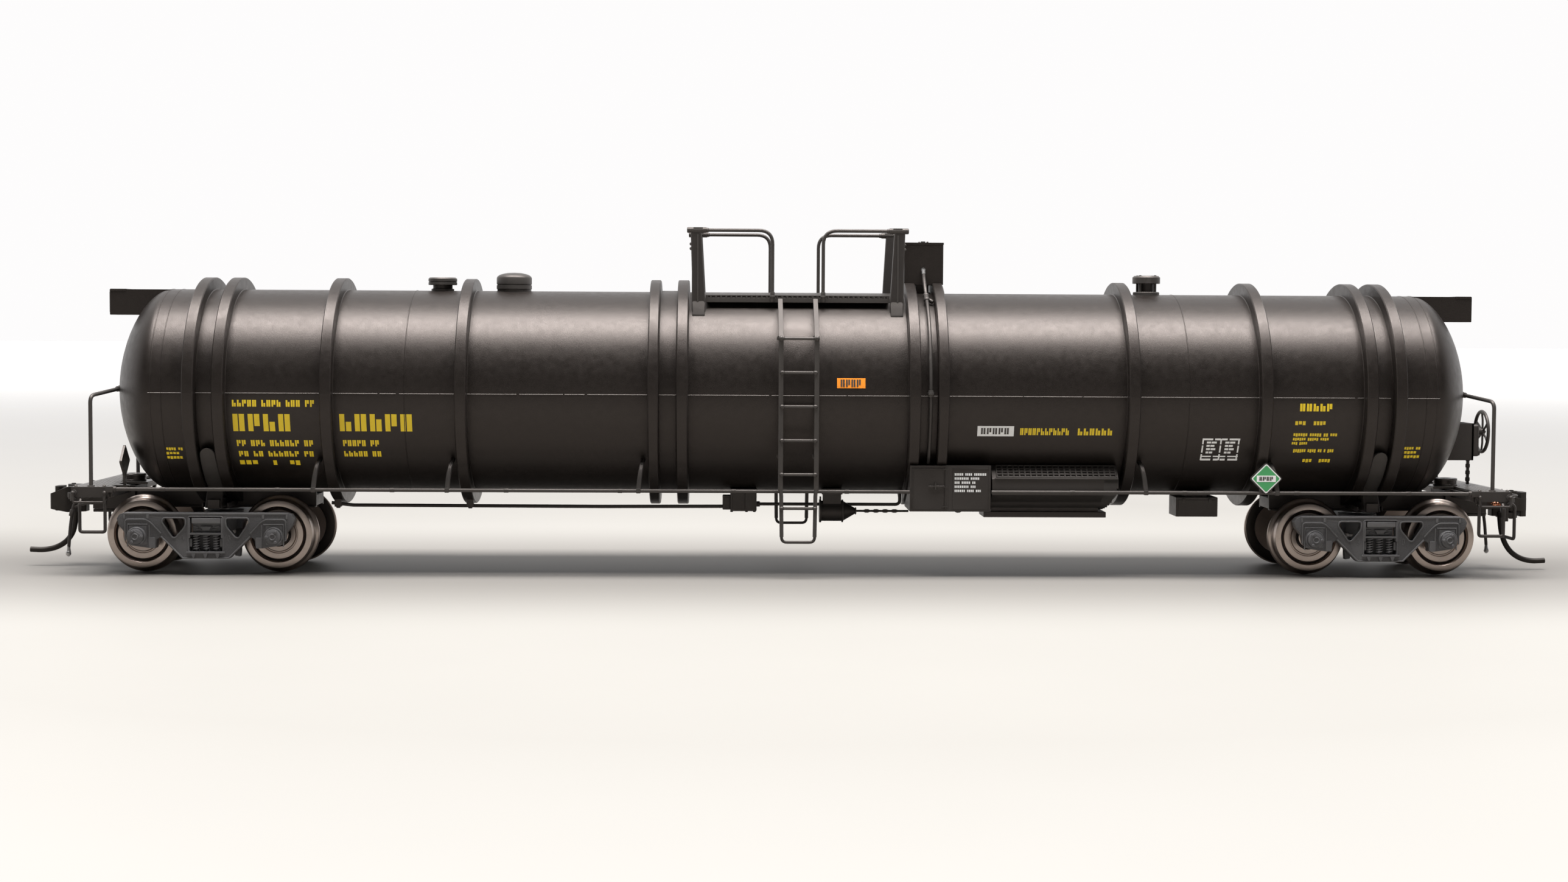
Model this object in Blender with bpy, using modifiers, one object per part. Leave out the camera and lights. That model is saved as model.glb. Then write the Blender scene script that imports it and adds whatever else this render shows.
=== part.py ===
"""HO-scale (1:87) model of a cryogenic tank wagon, as separate solids.

The constants are millimetres, and MM turns them into Blender's metres. X runs along the
wagon with the hand brake at +X, Y runs across it and Z is up. Z = 0 is the lowest point of
the wheel flanges, and the wagon is centred on X = 0 and Y = 0.
"""
import math

import bmesh
import bpy
from mathutils import Matrix, Vector

MM = 0.001

# Fits
GLUED = 0.05          # gap between pieces that are glued or clipped together
FREE = 0.3            # gap between pieces that move past each other

# Running gear
WHEEL_RADIUS = 5.25   # tread, a 36 inch wheel
FLANGE_RADIUS = 5.89
WHEEL_WIDTH = 2.79
BACK_TO_BACK = 14.5
AXLE_RADIUS = 0.8
AXLE_LENGTH = 25.6
AXLE_HEIGHT = FLANGE_RADIUS
WHEELBASE = 20.41
TRUCK_CENTRE = 88.77  # distance of each kingpin from the middle of the wagon
SCREW_RADIUS = 0.75   # of the kingpin screws

# Tank
TANK_RADIUS = 15.57
TANK_HEIGHT = 27.45   # of its axis
TANK_STRAIGHT = 96.65  # the heads start here
HEAD_DEPTH = 7.54
HEAD_POWER = 1.70     # 2 would be an ellipse
SHELL_THICKNESS = 1.0
RING_RADIUS = 17.42
RING_WIDTH = 1.7
RING_PLACES = (17.41, 21.71, 50.29, 70.18, 86.07, 90.44)
BAND_RADIUS = 15.77   # between the two rings on either side of the middle
TANK_SEGMENTS = 28

# Ends
DECK_TOP = 13.35
DECK_THICKNESS = 0.4
DECK_INNER = 103.3
DECK_OUTER = 108.4
DECK_HALF_WIDTH = 14.3
SILL_BOTTOM = 9.5
SILL_HALF_WIDTH = 3.2
COUPLER_PIVOT = 104.3
COUPLER_HEIGHT = 10.5
POCKET_HALF_WIDTH = 3.7
BOLSTER_PLACE = 88.1  # of the cross member between the two rings

# Side rails and ladders
RAIL_OFFSET = 14.9
RAIL_HEIGHT = 13.05
RAIL_RADIUS = 0.28
LADDER_OFFSET = 16.8
LADDER_SPACING = 5.34  # between the middles of the stiles
RUNG_PITCH = 5.07
LOWEST_RUNG = 5.57

# Walkway on top
WALKWAY_TOP = 42.5
WALKWAY_HALF_LENGTH = 14.0
WALKWAY_OUTER = 8.7
WALKWAY_INNER = 4.4
RAILING_TOP = 52.3


# ---------------------------------------------------------------- basic shapes

def clear_scene():
    for obj in list(bpy.data.objects):
        bpy.data.objects.remove(obj, do_unlink=True)


def make_material(name, color, roughness, metallic=0.0):
    material = bpy.data.materials.new(name)
    material.use_nodes = True
    shader = material.node_tree.nodes["Principled BSDF"]
    shader.inputs["Base Color"].default_value = (*color, 1.0)
    shader.inputs["Roughness"].default_value = roughness
    shader.inputs["Metallic"].default_value = metallic
    material.diffuse_color = (*color, 1.0)
    return material


def make_collection(name):
    collection = bpy.data.collections.new(name)
    bpy.context.scene.collection.children.link(collection)
    return collection


def add_mesh_object(mesh, name="shape"):
    obj = bpy.data.objects.new(name, mesh)
    WAGON.objects.link(obj)
    return obj


def from_bmesh(shape):
    mesh = bpy.data.meshes.new("shape")
    shape.to_mesh(mesh)
    shape.free()
    return add_mesh_object(mesh)


def bake(obj, weld=False):
    """Turn an object with its modifiers, or a curve, into a plain mesh object."""
    bpy.context.view_layer.update()
    depsgraph = bpy.context.evaluated_depsgraph_get()
    mesh = bpy.data.meshes.new_from_object(obj.evaluated_get(depsgraph))
    if weld:
        shape = bmesh.new()
        shape.from_mesh(mesh)
        bmesh.ops.remove_doubles(shape, verts=shape.verts, dist=0.001 * MM)
        bmesh.ops.recalc_face_normals(shape, faces=shape.faces)
        shape.to_mesh(mesh)
        shape.free()
    new = add_mesh_object(mesh)
    new.matrix_world = obj.matrix_world
    bpy.data.objects.remove(obj, do_unlink=True)
    mesh.transform(new.matrix_world)
    new.matrix_world = Matrix()
    return new


def box(x_range, y_range, z_range):
    centre = Vector([sum(r) / 2 for r in (x_range, y_range, z_range)]) * MM
    size = Vector([abs(r[1] - r[0]) for r in (x_range, y_range, z_range)]) * MM
    shape = bmesh.new()
    placed = Matrix.Translation(centre) @ Matrix.Diagonal((*size, 1.0))
    bmesh.ops.create_cube(shape, size=1.0, matrix=placed)
    return from_bmesh(shape)


def rod(start, end, radius, end_radius=None, sides=16):
    """A cylinder or a cone from one point to another."""
    start, end = Vector(start) * MM, Vector(end) * MM
    along = end - start
    turn = along.to_track_quat("Z", "Y").to_matrix().to_4x4()
    shape = bmesh.new()
    bmesh.ops.create_cone(
        shape, cap_ends=True, segments=sides, radius1=radius * MM,
        radius2=(radius if end_radius is None else end_radius) * MM,
        depth=along.length, matrix=Matrix.Translation((start + end) / 2) @ turn)
    return from_bmesh(shape)


def ball(centre, radius):
    shape = bmesh.new()
    bmesh.ops.create_uvsphere(
        shape, u_segments=8, v_segments=6, radius=radius * MM,
        matrix=Matrix.Translation(Vector(centre) * MM))
    return from_bmesh(shape)


def arc(centre, radius, start, end, steps):
    """Points along a circle, angles in degrees, both ends included."""
    angles = [math.radians(start + (end - start) * i / steps) for i in range(steps + 1)]
    return [(centre[0] + radius * math.cos(a), centre[1] + radius * math.sin(a)) for a in angles]


PLANES = {
    "XY": Matrix(),
    "XZ": Matrix(((1, 0, 0, 0), (0, 0, -1, 0), (0, 1, 0, 0), (0, 0, 0, 1))),
    "YZ": Matrix(((0, 0, 1, 0), (1, 0, 0, 0), (0, 1, 0, 0), (0, 0, 0, 1))),
}


def plate(plane, loops, depth_range):
    """A flat outline, with any holes after it, given depth across its plane."""
    curve = bpy.data.curves.new("outline", "CURVE")
    curve.dimensions = "2D"
    curve.fill_mode = "BOTH"
    curve.extrude = abs(depth_range[1] - depth_range[0]) / 2 * MM
    for loop in loops:
        spline = curve.splines.new("POLY")
        spline.points.add(len(loop) - 1)
        for point, (u, v) in zip(spline.points, loop):
            point.co = (u * MM, v * MM, 0.0, 1.0)
        spline.use_cyclic_u = True
    obj = bpy.data.objects.new("outline", curve)
    WAGON.objects.link(obj)
    middle = sum(depth_range) / 2 * MM
    across = -middle if plane == "XZ" else middle
    obj.matrix_world = PLANES[plane] @ Matrix.Translation((0, 0, across))
    return bake(obj, weld=True)


def rounded(points, radius, steps=3):
    """A route of straight runs with its corners rounded off."""
    route = [Vector(points[0])]
    for before, corner, after in zip(points, points[1:], points[2:]):
        corner = Vector(corner)
        back = (Vector(before) - corner).normalized()
        on = (Vector(after) - corner).normalized()
        start, end = corner + back * radius, corner + on * radius
        for i in range(steps + 1):
            t = i / steps
            route.append(start * (1 - t) ** 2 + corner * 2 * t * (1 - t) + end * t ** 2)
    route.append(Vector(points[-1]))
    return route


def wire(points, radius):
    """A round wire along a list of points."""
    curve = bpy.data.curves.new("wire", "CURVE")
    curve.dimensions = "3D"
    curve.bevel_depth = radius * MM
    curve.bevel_resolution = 1
    curve.use_fill_caps = True
    spline = curve.splines.new("POLY")
    spline.points.add(len(points) - 1)
    for point, place in zip(spline.points, points):
        point.co = (*(Vector(place) * MM), 1.0)
    obj = bpy.data.objects.new("wire", curve)
    WAGON.objects.link(obj)
    return bake(obj, weld=True)


def turned(profile, axis, centre=(0, 0, 0), steps=20):
    """A solid of revolution from (place along the axis, radius) pairs, lowest place first."""
    mesh = bpy.data.meshes.new("profile")
    points = [(r * MM, 0.0, s * MM) for s, r in reversed(profile)]
    mesh.from_pydata(points, [(i, i + 1) for i in range(len(points) - 1)], [])
    obj = add_mesh_object(mesh)
    screw = obj.modifiers.new("Screw", "SCREW")
    screw.axis = "Z"
    screw.steps = screw.render_steps = steps
    screw.use_merge_vertices = True
    screw.merge_threshold = 0.001 * MM
    turn = {"X": Matrix.Rotation(math.pi / 2, 4, "Y"),
            "Y": Matrix.Rotation(-math.pi / 2, 4, "X"),
            "Z": Matrix()}[axis]
    obj.matrix_world = Matrix.Translation(Vector(centre) * MM) @ turn
    return bake(obj, weld=True)


def combine(target, others, operation):
    for other in others:
        modifier = target.modifiers.new(operation.title(), "BOOLEAN")
        modifier.operation = operation
        modifier.solver = "EXACT"
        modifier.object = other
    result = bake(target)
    for other in others:
        if other not in CUTTERS.objects[:]:
            bpy.data.objects.remove(other, do_unlink=True)
    return result


def fuse(*shapes):
    return combine(shapes[0], shapes[1:], "UNION")


def cut(target, *cutters):
    return combine(target, cutters, "DIFFERENCE")


def make_cutter(obj, name):
    """Keep a shape as a cutter that several pieces share."""
    obj.name = name
    WAGON.objects.unlink(obj)
    CUTTERS.objects.link(obj)
    obj.hide_render = True
    obj.display_type = "WIRE"
    return obj


def finish(obj, name, material, smooth=True):
    obj.name = obj.data.name = name
    obj.data.materials.clear()
    obj.data.materials.append(material)
    if smooth:
        obj.data.shade_smooth()
        obj.data.set_sharp_from_angle(angle=math.radians(35))
    return obj


def turned_copy(obj, name):
    """The same piece at the other end, turned half round about the middle of the wagon."""
    copy = bpy.data.objects.new(name, obj.data)
    WAGON.objects.link(copy)
    copy.rotation_euler = (0, 0, math.pi)
    return copy


def pivot(name, place, parent=None):
    """An empty on a joint's axis. Its children are given in its own frame."""
    empty = bpy.data.objects.new(name, None)
    WAGON.objects.link(empty)
    empty.empty_display_size = 2 * MM
    empty.location = Vector(place) * MM
    empty.parent = parent
    return empty


def hang(mesh, name, parent, place=(0, 0, 0), turn=0.0):
    """Put a mesh on a parent at a place and turned about Z, in the parent's frame."""
    obj = bpy.data.objects.new(name, mesh)
    WAGON.objects.link(obj)
    obj.parent = parent
    obj.location = Vector(place) * MM
    obj.rotation_euler = (0, 0, turn)
    return obj


def mesh_of(obj):
    """Take the mesh out of a shape and drop the object, so that copies can share it."""
    mesh = obj.data
    bpy.data.objects.remove(obj, do_unlink=True)
    return mesh


# ---------------------------------------------------------------- the tank

def head_points(grow, steps=6):
    """(distance beyond the straight part, radius) along a head, from its edge to its tip."""
    points = []
    for i in range(1, steps + 1):
        angle = math.pi / 2 * i / steps
        out = (HEAD_DEPTH + grow) * math.sin(angle) ** (2 / HEAD_POWER)
        radius = (TANK_RADIUS + grow) * max(math.cos(angle), 0.0) ** (2 / HEAD_POWER)
        points.append((out, radius if i < steps else 0.0))
    return points


def tank_profile(grow=0.0):
    """The tank's outline with its rings, from one tip to the other, grown by a gap."""
    half = [(0.0, TANK_RADIUS + grow)]
    for place in RING_PLACES:
        between = BAND_RADIUS if place == RING_PLACES[1] else TANK_RADIUS
        beyond = BAND_RADIUS if place == RING_PLACES[0] else TANK_RADIUS
        reach = RING_WIDTH / 2 + grow
        half += [(place - reach, between + grow), (place - reach, RING_RADIUS + grow),
                 (place + reach, RING_RADIUS + grow), (place + reach, beyond + grow)]
    half.append((TANK_STRAIGHT, TANK_RADIUS + grow))
    half += [(TANK_STRAIGHT + out, radius) for out, radius in head_points(grow)]
    return [(-x, r) for x, r in reversed(half[1:])] + half[1:]


def plain_tank_profile(shrink):
    """The hollow of the tank: its outline without rings, made smaller."""
    half = [(TANK_STRAIGHT, TANK_RADIUS - shrink)]
    half += [(TANK_STRAIGHT + out, radius) for out, radius in head_points(-shrink)]
    return [(-x, r) for x, r in reversed(half)] + half


def make_tank():
    above, below = TANK_HEIGHT + 30, TANK_HEIGHT - 30
    half_gap = GLUED / 2
    spaces = {"tank_shell_upper": (below, TANK_HEIGHT + half_gap),
              "tank_shell_lower": (TANK_HEIGHT - half_gap, above)}
    axis = (0, 0, TANK_HEIGHT)
    for name, other_half in spaces.items():
        solid = turned(tank_profile(), "X", axis, TANK_SEGMENTS)
        hollow = turned(plain_tank_profile(SHELL_THICKNESS), "X", axis, TANK_SEGMENTS)
        shell = cut(solid, hollow, box((-130, 130), (-30, 30), other_half))
        finish(shell, name, BLACK)


def make_ballast():
    weight = box((-70, 70), (-9, 9), (16.3, 21.3))
    finish(weight, "ballast_weight", STEEL, smooth=False)


# ---------------------------------------------------------------- end frames

def body_bolster():
    """Cross member between two rings, with an upright that follows the tank up each side."""
    side = [(10.4, 9.75), (12.4, 10.9), (13.65, 13.2), (14.6, 15.5)]
    side += arc((15.0, 18.9), 0.55, -10, 180, 4)
    side.append((11.5, 12.3))
    outline = side + [(-y, z) for y, z in reversed(side)]
    return plate("YZ", [outline], (BOLSTER_PLACE - 0.95, BOLSTER_PLACE + 0.95))


def step(points):
    return wire(rounded(points, 0.6, 2), 0.25)


def end_frame():
    """Stub sill, bolster, end sill with the coupler pocket, corner steps and air hose."""
    sill = box((74, 102.4), (-SILL_HALF_WIDTH, SILL_HALF_WIDTH), (SILL_BOTTOM, 12.2))
    pad = rod((TRUCK_CENTRE, 0, 9.2), (TRUCK_CENTRE, 0, 9.9), 2.6, sides=20)
    pocket = box((101.6, 108.2), (-POCKET_HALF_WIDTH, POCKET_HALF_WIDTH), (9.2, 12.8))
    end_beam = box((107.2, 108.3), (-DECK_HALF_WIDTH, DECK_HALF_WIDTH), (11.0, 12.9))
    inner_beam = box((102.4, 103.3), (-DECK_HALF_WIDTH, DECK_HALF_WIDTH), (12.0, 12.9))
    shapes = [sill, pad, body_bolster(), pocket, end_beam, inner_beam]
    for side in (-1, 1):
        outer, inner = side * DECK_HALF_WIDTH, side * (DECK_HALF_WIDTH - 0.6)
        shapes.append(box((102.5, 108.2), (inner, outer), (12.1, 12.85)))
        shapes.append(box((102.5, 103.6), (inner, outer), (10.8, 12.5)))
        lug_end = side * (RAIL_OFFSET + 0.4)
        shapes.append(box((101.9, 102.9), (inner, lug_end), (12.6, 13.5)))
        y = side * 14.75
        shapes.append(step([(103.25, side * 14.0, 11.7), (103.25, y, 11.4), (103.25, y, 6.5),
                            (107.0, y, 6.5), (107.0, y, 11.4), (107.6, side * 14.0, 11.8)]))
        near, far = side * 15.05, side * 15.35
        for x in (103.2, 107.9):
            shapes.append(box((x - 0.13, x + 0.13), (side * 14.0, side * 15.2), (12.3, 12.6)))
            shapes.append(box((x - 0.16, x + 0.16), (near, far), (11.02, 12.65)))
        shapes.append(box((103.1, 108.0), (side * 15.07, side * 15.33), (11.0, 11.3)))
    shapes.append(step([(108.1, -13.9, 11.4), (108.8, -13.9, 11.0), (108.8, -13.9, 6.0),
                        (108.8, -8.8, 6.0), (108.8, -8.8, 11.0), (108.1, -8.8, 11.4)]))
    hose = rounded([(108.0, 5.5, 11.4), (110.4, 5.5, 10.6), (111.3, 5.5, 2.8)], 1.2, 3)
    shapes += [wire(hose, 0.26), ball((111.3, 5.5, 2.5), 0.48)]
    frame = fuse(*shapes)

    chamber = box((102.2, 109.0), (-3.1, 3.1), (8.0, 11.8))
    screw_hole = rod((TRUCK_CENTRE, 0, 8), (TRUCK_CENTRE, 0, 11.3), SCREW_RADIUS + GLUED)
    frame = cut(frame, TANK_SPACE, chamber, screw_hole)
    post = rod((COUPLER_PIVOT, 0, 9.25), (COUPLER_PIVOT, 0, 12.0), 0.9)
    return fuse(frame, post)


def make_end_frames():
    frame_b = finish(end_frame(), "end_frame_b", BLACK)
    turned_copy(frame_b, "end_frame_a")

    lid = box((101.7, 108.1), (-3.6, 3.6), (8.7, 9.2 - GLUED))
    lid_b = finish(lid, "coupler_pocket_lid_b", BLACK, smooth=False)
    turned_copy(lid_b, "coupler_pocket_lid_a")


def end_platform():
    """Grating across the end, the low drum behind it and the end placard on its post."""
    bottom = DECK_TOP - DECK_THICKNESS
    deck = box((DECK_INNER, DECK_OUTER), (-DECK_HALF_WIDTH, DECK_HALF_WIDTH), (bottom, DECK_TOP))
    tongue = box((99.8, 103.6), (-3.0, 3.0), (bottom + 0.02, DECK_TOP - 0.02))
    drum = rod((102.7, 0, bottom + 0.1), (102.7, 0, 14.45), 1.85, sides=20)
    lug = box((101.2, 103.6), (8.2, 9.8), (bottom + 0.04, DECK_TOP - 0.04))
    post = box((101.6, 102.0), (8.6, 9.4), (13.0, 15.4))
    diamond = plate("YZ", [diamond_outline((9.0, 16.9), 2.5)], (101.62, 101.98))
    platform = fuse(deck, tongue, drum, lug, post, diamond)
    slots = []
    for side in (-1, 1):
        for place in (4.9, 8.3, 11.7):
            y = side * place
            slots.append(box((DECK_INNER + 1.1, DECK_OUTER - 0.8), (y - 1.1, y + 1.1), (12, 14)))
    return cut(platform, *slots)


def diamond_outline(centre, reach):
    u, v = centre
    return [(u + reach, v), (u, v + reach), (u - reach, v), (u, v - reach)]


def make_end_platforms():
    platform_b = finish(end_platform(), "end_platform_b", BLACK)
    turned_copy(platform_b, "end_platform_a")


def make_end_handrails():
    """A post on the platform that bends over to the tank head."""
    x, post_top = 105.6, 26.9
    for side, name in ((-1, "near"), (1, "far")):
        y = side * 13.6
        route = [(x, y, DECK_TOP + GLUED), (x, y, post_top), (103.2, side * 5.6, 27.8)]
        rail = cut(wire(rounded(route, 0.9, 3), 0.3), TANK_SPACE)
        rail_b = finish(rail, f"end_handrail_b_{name}", BLACK)
        turned_copy(rail_b, f"end_handrail_a_{'far' if name == 'near' else 'near'}")


def make_end_boxes():
    beam = cut(box((96.2, 105.6), (-2.4, 2.4), (39.0, 42.95)), TANK_SPACE)
    beam_b = finish(beam, "end_box_b", BLACK, smooth=False)
    turned_copy(beam_b, "end_box_a")


# ---------------------------------------------------------------- top of the tank

def walkway(side):
    """A grating beside the tank's crown, with a post at each end and two hoop rails."""
    outer, inner = side * WALKWAY_OUTER, side * WALKWAY_INNER
    deck = box((-WALKWAY_HALF_LENGTH, WALKWAY_HALF_LENGTH), (inner, outer),
               (WALKWAY_TOP - 0.45, WALKWAY_TOP))
    kerb = box((-WALKWAY_HALF_LENGTH - 0.1, WALKWAY_HALF_LENGTH + 0.1),
               (outer, outer - side * 0.45), (WALKWAY_TOP - 1.2, WALKWAY_TOP + 0.01))
    shapes = [deck, kerb]
    post_face = side * (WALKWAY_OUTER + 0.75)
    for end in (-1, 1):
        outline = [(end * 14.05, 39.1), (end * 16.05, 39.1), (end * 15.85, 51.9), (end * 14.5, 51.9)]
        if end > 0:
            outline.reverse()
        shapes.append(plate("XZ", [outline], (post_face, side * (WALKWAY_OUTER - 0.15))))
        y = side * (WALKWAY_OUTER + 0.3)
        shapes.append(rod((end * 13.9, y, RAILING_TOP), (end * 16.4, y, RAILING_TOP), 0.45, sides=10))
        route = [(end * 14.8, y, RAILING_TOP), (end * 3.85, y, RAILING_TOP),
                 (end * 3.85, y, WALKWAY_TOP + 0.4), (end * 3.85, side * 8.4, WALKWAY_TOP - 0.6)]
        shapes.append(wire(rounded(route, 1.5, 4)[:-5] + [Vector(p) for p in route[-2:]], 0.27))
    platform = fuse(*shapes)
    slots = []
    for i in range(12):
        x = (i - 5.5) * 2.3
        slots.append(box((x - 0.85, x + 0.85), (inner + side * 0.6, outer - side * 0.9), (40, 44)))
    return cut(platform, TANK_SPACE, *slots)


def make_walkways():
    for side, name in ((-1, "near"), (1, "far")):
        finish(walkway(side), f"walkway_{name}", BLACK)


def make_caps():
    crown = TANK_HEIGHT + TANK_RADIUS
    base = crown - 1.2
    low_vent = turned([(base, 0), (base, 1.55), (43.9, 1.55), (43.9, 2.21), (44.9, 2.21),
                       (45.05, 2.0), (45.05, 0)], "Z", (-54.85, 0, 0))
    high_vent = turned([(base, 0), (base, 2.0), (43.5, 2.0), (43.5, 1.3), (44.8, 1.3),
                        (44.8, 2.15), (45.8, 2.15), (46.0, 1.9), (46.0, 0)], "Z", (54.87, 0, 0))
    dome = turned([(base, 0), (base, 2.6), (43.4, 2.6), (43.4, 2.72), (45.1, 2.72),
                   (45.55, 2.2), (45.87, 1.1), (45.87, 0)], "Z", (-43.78, 0, 0))
    for shape, name in ((low_vent, "vent_cap_a"), (high_vent, "vent_cap_b"), (dome, "dome_cap")):
        finish(cut(shape, TANK_SPACE), name, BLACK)


def make_valve_gear():
    body = box((16.63, 22.7), (-3.2, 3.2), (44.6, 50.8))
    neck = box((18.6, 20.5), (-2.6, 2.6), (42.0, 44.8))
    lid_knob = rod((19.8, 0, 50.7), (19.8, 0, 51.2), 0.5, sides=10)
    finish(cut(fuse(body, neck, lid_knob), TANK_SPACE), "valve_box", BLACK)

    x, reach = 19.6, 16.5
    route = [(x, -3.2 - GLUED, 46.9), (x, -3.9, 46.9), (x, -4.6, 44.9), (x, -6.4, 43.0)]
    angles = [math.radians(112 + i * 12) for i in range(10)]
    route += [(x, reach * math.cos(a), TANK_HEIGHT + reach * math.sin(a)) for a in angles]
    route = [p for p in route if p[2] > 17.3]
    pipe = wire(route, 0.27)
    coupling = rod((x, -reach, 27.5), (x, -reach, 28.3), 0.5, sides=10)
    elbow = ball((x, -6.6, 42.7), 0.5)
    finish(cut(fuse(pipe, coupling, elbow), TANK_SPACE), "valve_pipe", BLACK)


# ---------------------------------------------------------------- sides

def make_side_rails():
    """A pipe along each side, held to the rings by stays, with a diamond placard on it."""
    pieces = {"side_rail_near_a": (-1, -101.85, 16.8, None),
              "side_rail_near_b": (-1, 29.1 + GLUED, 101.85, 70.6),
              "side_rail_far": (1, -101.85, 101.85, -70.6)}
    for name, (side, start, end, placard) in pieces.items():
        y = side * RAIL_OFFSET
        shapes = [rod((start, y, RAIL_HEIGHT), (end, y, RAIL_HEIGHT), RAIL_RADIUS, sides=8)]
        for ring in RING_PLACES[1:4]:
            for place in (-ring, ring):
                out = math.copysign(1, place)
                x = place + out * (RING_WIDTH / 2 + 0.85)
                if start < x < end:
                    foot = (x + out * 0.5, y, RAIL_HEIGHT)
                    shapes.append(rod(foot, (x, side * 12.15, 17.4), 0.27, sides=8))
        if placard is not None:
            faces = (y + side * 0.35, y + side * 0.01)
            shapes.append(plate("XZ", [diamond_outline((placard, 15.25), 2.47)], faces))
        finish(fuse(*shapes), name, BLACK)


def ladder(side):
    """Two flat stiles that lean in at the top, seven rungs and four stand-offs."""
    y = side * LADDER_OFFSET
    back, front = y - side * 0.22, y + side * 0.22
    outline = [(front, LOWEST_RUNG - 0.3), (front, 36.3), (side * 9.6, 41.9), (side * 9.25, 41.5),
               (back, 36.1), (back, LOWEST_RUNG - 0.3)]
    if side > 0:
        outline.reverse()
    shapes = []
    half = LADDER_SPACING / 2
    for x in (-half, half):
        shapes.append(plate("YZ", [outline], (x - 0.37, x + 0.37)))
        for z in (36.0, 18.3):
            inner = side * math.sqrt(TANK_RADIUS ** 2 - (z - TANK_HEIGHT) ** 2)
            shapes.append(rod((x, y, z), (x, inner - side * 0.5, z), 0.3, sides=8))
    for i in range(7):
        z = LOWEST_RUNG + i * RUNG_PITCH
        shapes.append(rod((-half, y, z), (half, y, z), 0.24, sides=8))
    return cut(fuse(*shapes), TANK_SPACE)


def make_ladders():
    for side, name in ((-1, "near"), (1, "far")):
        finish(ladder(side), f"ladder_{name}", BLACK)


# ---------------------------------------------------------------- underneath

def make_equipment():
    cabinet = box((16.86, 29.1), (-14.5, -4.5), (10.05, 17.0))
    finish(cut(cabinet, TANK_SPACE), "equipment_cabinet", BLACK, smooth=False)

    front = [(-4.5, 9.9), (-4.5, 17.0), (-12.4, 17.0), (-14.4, 15.2), (-14.4, 12.6)]
    front += arc((-8.9, 13.6), 3.65, 215, 262, 4)
    housing = plate("YZ", [front], (29.3, 48.4))
    skid = box((28.4, 47.1), (-11.2, -5.0), (8.95, 9.8))
    web = box((29.6, 46.0), (-10.6, -5.6), (9.6, 10.6))
    corner = [(46.2, 8.0), (47.3, 10.6), (48.1, 11.8), (48.5, 13.2), (51.0, 13.2), (51.0, 8.0)]
    round_end = plate("XZ", [corner], (-16.0, -11.4))
    housing = cut(fuse(housing, web, skid), TANK_SPACE, round_end)
    finish(housing, "vaporizer_housing", BLACK)

    tool_box = box((58.35, 64.8), (-8.5, -3.0), (8.9, 12.6))
    finish(cut(tool_box, TANK_SPACE), "tool_box", BLACK, smooth=False)


def make_brake_gear():
    y, z = -5.0, 10.0
    main = rod((-71.3, y, z), (-9.0, y, z), 0.27, sides=8)
    branch = wire(rounded([(-9.0, -3.4, 10.25), (16.2, -3.4, 10.25), (16.2, -3.4, 13.0)], 0.6), 0.25)
    valve = box((-10.1, -6.05), (-6.5, -3.0), (9.3, 12.8))
    bowl = box((-11.3, -9.9), (-6.1, -3.9), (9.5, 11.8))
    shapes = [main, branch, valve, bowl]
    for ring in RING_PLACES[2:4]:
        shapes.append(box((-ring - 0.55, -ring + 0.55), (y - 0.5, y + 0.5), (9.7, 11.4)))
    finish(cut(fuse(*shapes), TANK_SPACE), "brake_pipe_and_valve", BLACK)

    y, z = -5.6, 9.4
    body = turned([(3.6, 0), (3.6, 1.8), (3.9, 1.8), (3.9, 1.55), (7.05, 1.55), (7.05, 1.75),
                   (7.3, 1.75), (7.35, 1.5), (9.2, 0.4), (9.3, 0)], "X", (0, y, z), 16)
    mount = box((4.15, 6.95), (-6.6, -4.6), (9.7, 12.9))
    rod_end = rod((9.0, y, z), (16.75, y, z), 0.18, sides=6)
    shapes = [body, mount, rod_end]
    for i in range(4):
        x = 10.95 + i * 1.43
        shapes.append(rod((x - 0.4, y, z), (x + 0.4, y, z), 0.28, sides=8))
    finish(cut(fuse(*shapes), TANK_SPACE), "brake_cylinder_and_rod", BLACK)


def make_hand_brake():
    bracket = box((101.5, 106.35), (-2.6, 2.6), (17.3, 23.3))
    housing = box((106.0, 107.6), (-2.1, 2.1), (18.0, 23.0))
    chain = rod((106.25, 0, DECK_TOP + GLUED), (106.25, 0, 17.6), 0.3, sides=8)
    finish(cut(fuse(bracket, housing, chain), TANK_SPACE), "hand_brake_bracket", BLACK)

    x, z = 108.35, 21.8
    rim = fuse(rod((x - 0.25, 0, z), (x + 0.25, 0, z), 3.45, sides=24))
    rim = cut(rim, rod((x - 1, 0, z), (x + 1, 0, z), 2.9, sides=24))
    spokes = []
    for i in range(3):
        angle = math.radians(60 * i + 30)
        reach = Vector((0, math.cos(angle), math.sin(angle))) * 3.1
        middle = Vector((x, 0, z))
        spokes.append(rod(middle - reach, middle + reach, 0.2, sides=8))
    hub = rod((107.6 + GLUED, 0, z), (x + 0.45, 0, z), 0.55, sides=12)
    finish(fuse(rim, hub, *spokes), "hand_brake_wheel", BLACK)


# ---------------------------------------------------------------- trucks

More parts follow.
